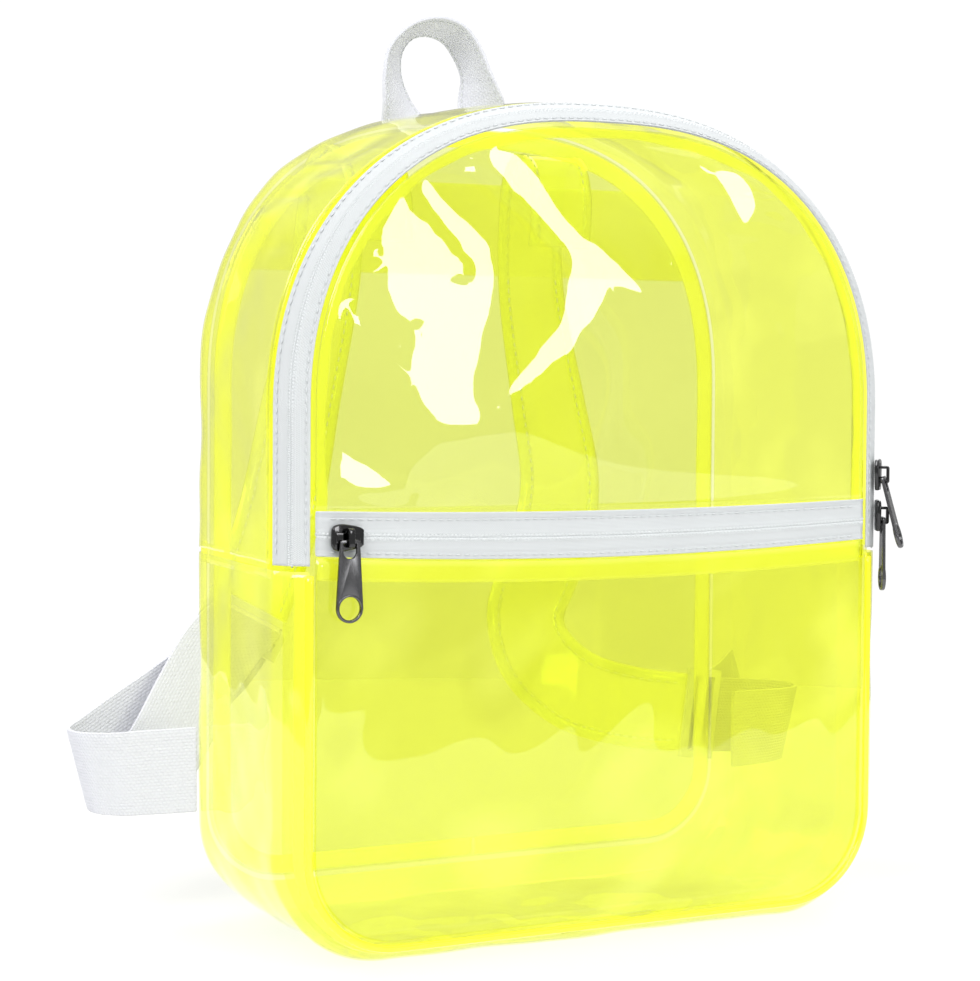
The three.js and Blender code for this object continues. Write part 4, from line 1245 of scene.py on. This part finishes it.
class BACKPACK_OT_webbing(Operator):
    """Adds the carry handle, the lower webbing and its loose tails"""
    bl_idname = "backpack.webbing"
    bl_label = "Add webbing"

    def execute(self, context):
        cloth = finish_of("webbing_cloth")
        bands = []
        for name, side, tail_side in STRAP_SIDES:
            bands.append((f"lower_webbing_{name}", ribbon_edges(webbing_rows(name), side), 180))
            bands.append((f"webbing_tail_{name}", ribbon_edges(tail_rows(name, tail_side), side), 80))
        bands.append(("carry_handle", handle_edges(), 150))
        for node, (left, right), columns in bands:
            sheet = ribbon_sheet(left, right, shape=webbing_relief)
            piece = grid_piece(
                f"{node}_woven", columns, 24, sheet, cloth, WOVEN_WALL, outward=False, offset=0.0)
            bevel = piece.modifiers.new("Edge", "BEVEL")
            bevel.width = 0.4 * MM
            bevel.segments = 2
            bevel.limit_method = "ANGLE"
            bevel.angle_limit = math.radians(50)
            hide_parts(node)
        return {"FINISHED"}


# Sliders and pulls

SLIDER_LENGTH = 12.0
SLIDER_WIDTH = 9.4
SLIDER_WALL = 1.7
SPINE_WALL = 0.5
BAIL_LENGTH = 6.8
BAIL_OPENING = 4.6
BAIL_HEIGHT = 3.5
BAIL_BAR = 1.1
BAIL_WIDTH = 2.2
BAIL_ROOT = 0.3
PULL_LENGTH = 28.5
PULL_TOP_WIDTH = 7.4
PULL_END_WIDTH = 10.0
PULL_WALL = 1.2
PULL_RIM = 1.3
PULL_RING = 1.0
PULL_SLOT_LENGTH = 5.2
PULL_SLOT_ROOM = 1.35
PULL_CORNER = 1.2

# Slider, pull, moving body, place of the slider's foot in mm, then outward angle, turn of the plate and hang
SLIDERS = [
    ("pocket_slider", "pocket_pull", "pocket_pull_tab", (-102.910, -53.100, 150.343), 0, 90, 0),
    ("main_slider_upper", "main_pull_upper", "upper_pull_tab", (122.324, -49.106, 168.590), 45, 0, 15),
    ("main_slider_lower", "main_pull_lower", "lower_pull_tab", (122.324, -49.106, 152.852), 62, 0, 0),
]


def arc(x, y, radius, start, end, steps):
    angles = np.radians(np.linspace(start, end, steps))
    return [(x + radius * math.cos(a), y + radius * math.sin(a)) for a in angles]


def plate_mesh(loops, wall, bevel):
    """A flat plate with holes and rounded rims, from closed loops of points in millimetres."""
    curve = bpy.data.curves.new("plate", "CURVE")
    curve.dimensions = "2D"
    curve.fill_mode = "BOTH"
    curve.extrude = wall / 2 - bevel
    curve.bevel_depth = bevel
    curve.bevel_resolution = 2
    curve.offset = -bevel
    for loop in loops:
        spline = curve.splines.new("POLY")
        spline.points.add(len(loop) - 1)
        for point, (x, y) in zip(spline.points, loop):
            point.co = (x, y, 0, 1)
        spline.use_cyclic_u = True
    holder = bpy.data.objects.new("plate", curve)
    bpy.context.scene.collection.objects.link(holder)
    bpy.context.view_layer.update()
    mesh = bpy.data.meshes.new_from_object(holder.evaluated_get(bpy.context.evaluated_depsgraph_get()))
    bpy.data.objects.remove(holder)
    bpy.data.curves.remove(curve)
    return mesh


def pull_loops():
    half = PULL_TOP_WIDTH / 2
    top = PULL_RIM / 2
    end_radius = PULL_END_WIDTH / 2
    end_y = top - PULL_LENGTH + end_radius
    corner = half - PULL_CORNER
    rim = arc(-corner, top - PULL_CORNER, PULL_CORNER, 90, 180, 6)
    rim += arc(0, end_y, end_radius, 180, 360, 28)
    rim += arc(corner, top - PULL_CORNER, PULL_CORNER, 0, 90, 6)
    slot_half = BAIL_WIDTH / 2 + PULL_SLOT_ROOM
    slot_top = -PULL_RIM / 2
    slot_end = slot_top - PULL_SLOT_LENGTH + slot_half
    slot = [(-slot_half, slot_top), (slot_half, slot_top)] + arc(0, slot_end, slot_half, 0, -180, 14)
    hole = arc(0, end_y, end_radius - PULL_RING, 0, 345, 24)
    return rim, slot, hole, end_y


def slider_plate():
    half, wide = SLIDER_LENGTH / 2, SLIDER_WIDTH / 2
    right = [(0.55, -1.0), (0.72, -0.82), (0.84, -0.5), (0.93, -0.1), (1.0, 0.3), (0.98, 0.6), (0.86, 0.86),
             (0.6, 0.98), (0.35, 1.0)]
    points = [(wide * x, half * y) for x, y in right]
    return points + [(-x, y) for x, y in reversed(points)]


def join_parts(name, parts, finish, body, frame_matrix):
    """Joins meshes, each with its own matrix in a local frame, into one piece."""
    bm = bmesh.new()
    for mesh, matrix in parts:
        start = len(bm.verts)
        bm.from_mesh(mesh)
        bm.verts.ensure_lookup_table()
        bmesh.ops.transform(bm, matrix=matrix, verts=bm.verts[start:])
        bpy.data.meshes.remove(mesh)
    bmesh.ops.remove_doubles(bm, verts=bm.verts, dist=0.003)
    bmesh.ops.recalc_face_normals(bm, faces=bm.faces)
    bmesh.ops.transform(bm, matrix=Matrix.Scale(MM, 4) @ frame_matrix, verts=bm.verts)
    piece = new_object(name, bm, finish, body, smooth=False)
    for face in piece.data.polygons:
        face.use_smooth = True
    piece.data.set_sharp_from_angle(angle=math.radians(35))
    return piece


def slider_frame(at, out_angle):
    a = math.radians(out_angle)
    out = Vector((math.sin(a), -math.cos(a), 0))
    up = Vector((0, 0, 1))
    across = up.cross(out)
    turn = Matrix((across, up, out)).transposed().to_4x4()
    return Matrix.Translation(Vector(at)) @ turn


class BACKPACK_OT_sliders(Operator):
    """Adds the three sliders and their pulls"""
    bl_idname = "backpack.sliders"
    bl_label = "Add sliders and pulls"

    def execute(self, context):
        metal, polished = finish_of("gunmetal"), finish_of("polished_metal")
        side = BAIL_LENGTH / 2
        peak = SLIDER_WALL + BAIL_HEIGHT
        for node, pull_node, pull_body, at, out_angle, plate_turn, hang in SLIDERS:
            local = slider_frame(at, out_angle)
            plate = plate_mesh([slider_plate()], SLIDER_WALL, 0.5)
            spine = plate_mesh([[(-1.5, -4.6), (1.5, -4.6), (1.8, 4.6), (-1.8, 4.6)]], SPINE_WALL, 0.2)
            root = SLIDER_WALL - BAIL_ROOT
            arch = [(-side, root), (-side, peak - 1.0), *arc(-side + 1, peak - 1, 1, 180, 90, 5)]
            arch += [*arc(side - 1, peak - 1, 1, 90, 0, 5), (side, root)]
            inner = BAIL_OPENING / 2
            hole = [(-inner, SLIDER_WALL + 0.1), (-inner, peak - BAIL_BAR), (inner, peak - BAIL_BAR),
                    (inner, SLIDER_WALL + 0.1)]
            bail = plate_mesh([arch, hole], BAIL_WIDTH, 0.35)
            upright = Matrix(((0, 0, 1, 0), (1, 0, 0, 0), (0, 1, 0, 0), (0, 0, 0, 1)))
            turn = Matrix.Rotation(math.radians(plate_turn), 4, "Z")
            parts = [
                (plate, turn @ Matrix.Translation((0, 0, SLIDER_WALL / 2))),
                (spine, turn @ Matrix.Translation((0, 0, SLIDER_WALL))),
                (bail, upright),
            ]
            piece = join_parts(f"{node}_cast", parts, polished, BAG, local)
            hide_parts(node)
            rim, slot, hole, end_y = pull_loops()
            tab = plate_mesh([rim, slot, hole], PULL_WALL, 0.25)
            radii = (PULL_END_WIDTH / 2 - 0.15, PULL_END_WIDTH / 2 - PULL_RING)
            ring = plate_mesh([arc(0, end_y, radius, 0, 350, 32) for radius in radii], PULL_WALL + 0.5, 0.25)
            pull_frame = (local @ Matrix.Translation((0, -BAIL_OPENING / 2 + PULL_RIM / 2 + GAP, SLIDER_WALL
                          + (BAIL_HEIGHT - BAIL_BAR) / 2)) @ Matrix.Rotation(-math.radians(hang), 4, "X"))
            parts = [(tab, Matrix()), (ring, Matrix())]
            piece = join_parts(f"{pull_node}_cast", parts, metal, pull_body, pull_frame)
            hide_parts(pull_node)
        for name in ("left", "right"):
            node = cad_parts[f"strap_slide_{name}"]
            node.data.materials.clear()
            node.data.materials.append(finish_of("slide_plastic"))
        return {"FINISHED"}


class BACKPACK_OT_stitching(Operator):
    """Sews the zip tapes, the handle and the straps"""
    bl_idname = "backpack.stitching"
    bl_label = "Add stitching"

    def execute(self, context):
        pitch = context.scene.bag_sizes.stitch_pitch
        start, end = SPLIT + 0.012, 2 - SPLIT - 0.012
        run = np.linspace(0, 1, 900)
        half = np.full(900, 0.5)
        rows = []
        for through in (0.17, 0.88):
            rows.append((form_sheet(start, end, through, through, raised=0.12)(run, half), pitch))
        stitch_rows("main_zip_stitches", rows)
        seam = front_seam()
        rows = []
        upper, lower = POCKET_ZIP_TOP_Z - 2.6, POCKET_ZIP_BOTTOM_Z + 1.6
        for z, sag in ((upper, POCKET_ZIP_TOP_SAG), (lower, POCKET_ZIP_BOTTOM_SAG)):
            place = panel_sheet(seam, FRONT_Y, z, z + 0.01, -1, sag_low=sag, sag_high=sag, raised=0.15)
            rows.append((place(mix(0.02, 0.98, run), 0 * run), pitch))
        stitch_rows("pocket_zip_stitches", rows)
        rows = []
        for name, side, _ in STRAP_SIDES:
            left, right = ribbon_edges(STRAP_ROWS[name], side)
            for across in (0.13, 0.87):
                for lift in (-0.95, 0.95):
                    place = ribbon_sheet(left, right, lift)
                    rows.append((place(mix(0.01, 0.99, run), np.full(900, across)), STRAP_STITCH_PITCH))
        stitch_rows("strap_stitches", rows)
        left, right = handle_edges()
        rows = []
        for across in (0.1, 0.9):
            for lift in (-0.85, 0.85):
                place = ribbon_sheet(left, right, lift)
                rows.append((place(mix(0.02, 0.98, run), np.full(900, across)), HANDLE_STITCH_PITCH))
        stitch_rows("handle_stitches", rows)
        return {"FINISHED"}


# Stage

def add_area_light(name, at, target, size_x, size_y, power):
    data = bpy.data.lights.new(name, "AREA")
    data.shape = "RECTANGLE"
    data.size = size_x * MM
    data.size_y = size_y * MM
    data.energy = power
    light = bpy.data.objects.new(name, data)
    bpy.context.scene.collection.objects.link(light)
    light.location = Vector(at) * MM
    light.rotation_euler = (Vector(target) - Vector(at)).to_track_quat("-Z", "Y").to_euler()
    return light


def add_camera():
    """The photograph's view: azimuth, tilt down and roll in degrees, focal length and shift in pixels."""
    azimuth, tilt, roll = (math.radians(a) for a in (27.553, 2.245, 0.416))
    width, focal, above = 980, 2376.37, 26.31
    ahead = math.cos(tilt)
    forward = Vector((math.sin(azimuth) * ahead, math.cos(azimuth) * ahead, -math.sin(tilt)))
    level = Vector((math.cos(azimuth), -math.sin(azimuth), 0))
    upright = level.cross(forward)
    right = level * math.cos(roll) + upright * math.sin(roll)
    up = upright * math.cos(roll) - level * math.sin(roll)
    data = bpy.data.cameras.new("camera")
    data.sensor_fit = "HORIZONTAL"
    data.sensor_width = 36
    data.lens = focal / width * 36
    data.shift_y = -above / width
    data.clip_start = 0.01
    camera = bpy.data.objects.new("camera", data)
    bpy.context.scene.collection.objects.link(camera)
    turn = Matrix((right, up, -forward)).transposed().to_4x4()
    camera.matrix_world = Matrix.Translation(Vector(CAMERA_AT) * MM) @ turn
    bpy.context.scene.camera = camera


FLOOR_RADIUS = 700
FLOOR_GAP = 0.6
# Strength of the room's light at eye level and overhead, and of the white that the camera sees past the bag
ROOM_DARK, ROOM_BRIGHT, BACKDROP = 0.45, 1.25, 1.03
# Key lights all round the bag: name, place in millimetres, power in watts and whether the film mirrors it
KEY_SIZE = 900
KEY_LIGHTS = (
    ("key_left", (-1300, -900, 1300), 14.0, True),
    ("key_right", (900, -1400, 1500), 10.0, False),
    ("key_back_left", (-1000, 1300, 1300), 9.0, True),
    ("key_back_right", (1200, 1100, 1300), 9.0, True),
)


def make_world():
    """White where the camera looks past the bag; a dimmer room with a bright ceiling for everything else."""
    world = bpy.data.worlds.new("studio")
    world.use_nodes = True
    tree = world.node_tree
    tree.nodes.clear()
    split = put(tree, "SeparateXYZ", Vector=put(tree, "TexCoord").outputs["Generated"])
    light = put_range(tree, split.outputs["Z"], 0.25, 0.95, ROOM_DARK, ROOM_BRIGHT, "SMOOTHSTEP")
    room, backdrop = (
        put(tree, "Background", Color=(1, 1, 1, 1), Strength=strength).outputs[0]
        for strength in (light, BACKDROP))
    seen = put(tree, "LightPath").outputs["Is Camera Ray"]
    put(tree, "OutputWorld", Surface=put_mix(tree, seen, room, backdrop))
    return world


class BACKPACK_OT_stage(Operator):
    """Adds the pale floor, the studio light and the camera"""
    bl_idname = "backpack.stage"
    bl_label = "Add stage"

    def execute(self, context):
        scene = context.scene
        tree, surface = new_finish("pale_floor")
        tone = put_noise(tree, object_vector(tree), 3.0, 2.0)
        pale = put_ramp(tree, tone, (0.735, 0.735, 0.735), (0.75, 0.75, 0.75))
        shader = put(tree, "BsdfPrincipled", Base_Color=pale, Roughness=0.9, Specular_IOR_Level=0.1)
        fill(tree, surface, shader.outputs[0])
        bm = bmesh.new()
        below = Matrix.Translation((0, 0, -FLOOR_GAP * MM))
        bmesh.ops.create_circle(bm, cap_ends=True, segments=96, radius=FLOOR_RADIUS * MM, matrix=below)
        mesh = bpy.data.meshes.new("floor")
        bm.to_mesh(mesh)
        bm.free()
        mesh.materials.append(finish_of("pale_floor"))
        floor = bpy.data.objects.new("floor", mesh)
        scene.collection.objects.link(floor)
        scene.world = make_world()
        add_area_light("softbox", SOFTBOX_AT, (-30, FRONT_Y, 235), SOFTBOX_SIZE, SOFTBOX_SIZE, SOFTBOX_POWER)
        for name, at, power, mirrored in KEY_LIGHTS:
            light = add_area_light(name, at, (0, 0, 150), KEY_SIZE, KEY_SIZE, power)
            light.visible_glossy = mirrored
        add_camera()
        scene.view_settings.view_transform = "Standard"
        scene.view_settings.look = "None"
        scene.cycles.transparent_max_bounces = 40
        scene.cycles.diffuse_bounces = 2
        scene.cycles.glossy_bounces = 2
        return {"FINISHED"}


PIECE_OPERATORS = (
    BACKPACK_OT_finishes,
    BACKPACK_OT_front_films,
    BACKPACK_OT_back_films,
    BACKPACK_OT_gusset_films,
    BACKPACK_OT_seams,
    BACKPACK_OT_main_zip,
    BACKPACK_OT_pocket_zip,
    BACKPACK_OT_straps,
    BACKPACK_OT_webbing,
    BACKPACK_OT_sliders,
    BACKPACK_OT_stitching,
    BACKPACK_OT_stage,
)


class BACKPACK_PT_sidebar(Panel):
    """Lists the backpack's pieces and settings"""
    bl_idname = "BACKPACK_PT_sidebar"
    bl_label = "Clear backpack"
    bl_space_type = "VIEW_3D"
    bl_region_type = "UI"
    bl_category = "Backpack"

    def draw(self, context):
        for settings in (context.scene.bag_sizes, context.scene.bag_colours):
            column = self.layout.column(align=True)
            for name in settings.bl_rna.properties.keys():
                if name not in ("rna_type", "name"):
                    column.prop(settings, name)
        for operator in PIECE_OPERATORS:
            self.layout.operator(operator.bl_idname)


CLASSES = (BagColours, BagSizes, *PIECE_OPERATORS, BACKPACK_PT_sidebar)


def register():
    for cls in CLASSES:
        bpy.utils.register_class(cls)
    bpy.types.Scene.bag_colours = PointerProperty(type=BagColours)
    bpy.types.Scene.bag_sizes = PointerProperty(type=BagSizes)


def unregister():
    del bpy.types.Scene.bag_sizes
    del bpy.types.Scene.bag_colours
    for cls in reversed(CLASSES):
        bpy.utils.unregister_class(cls)


def main():
    register()
    for operator in PIECE_OPERATORS:
        group, name = operator.bl_idname.split(".")
        getattr(getattr(bpy.ops, group), name)()


if __name__ == "__main__":
    main()
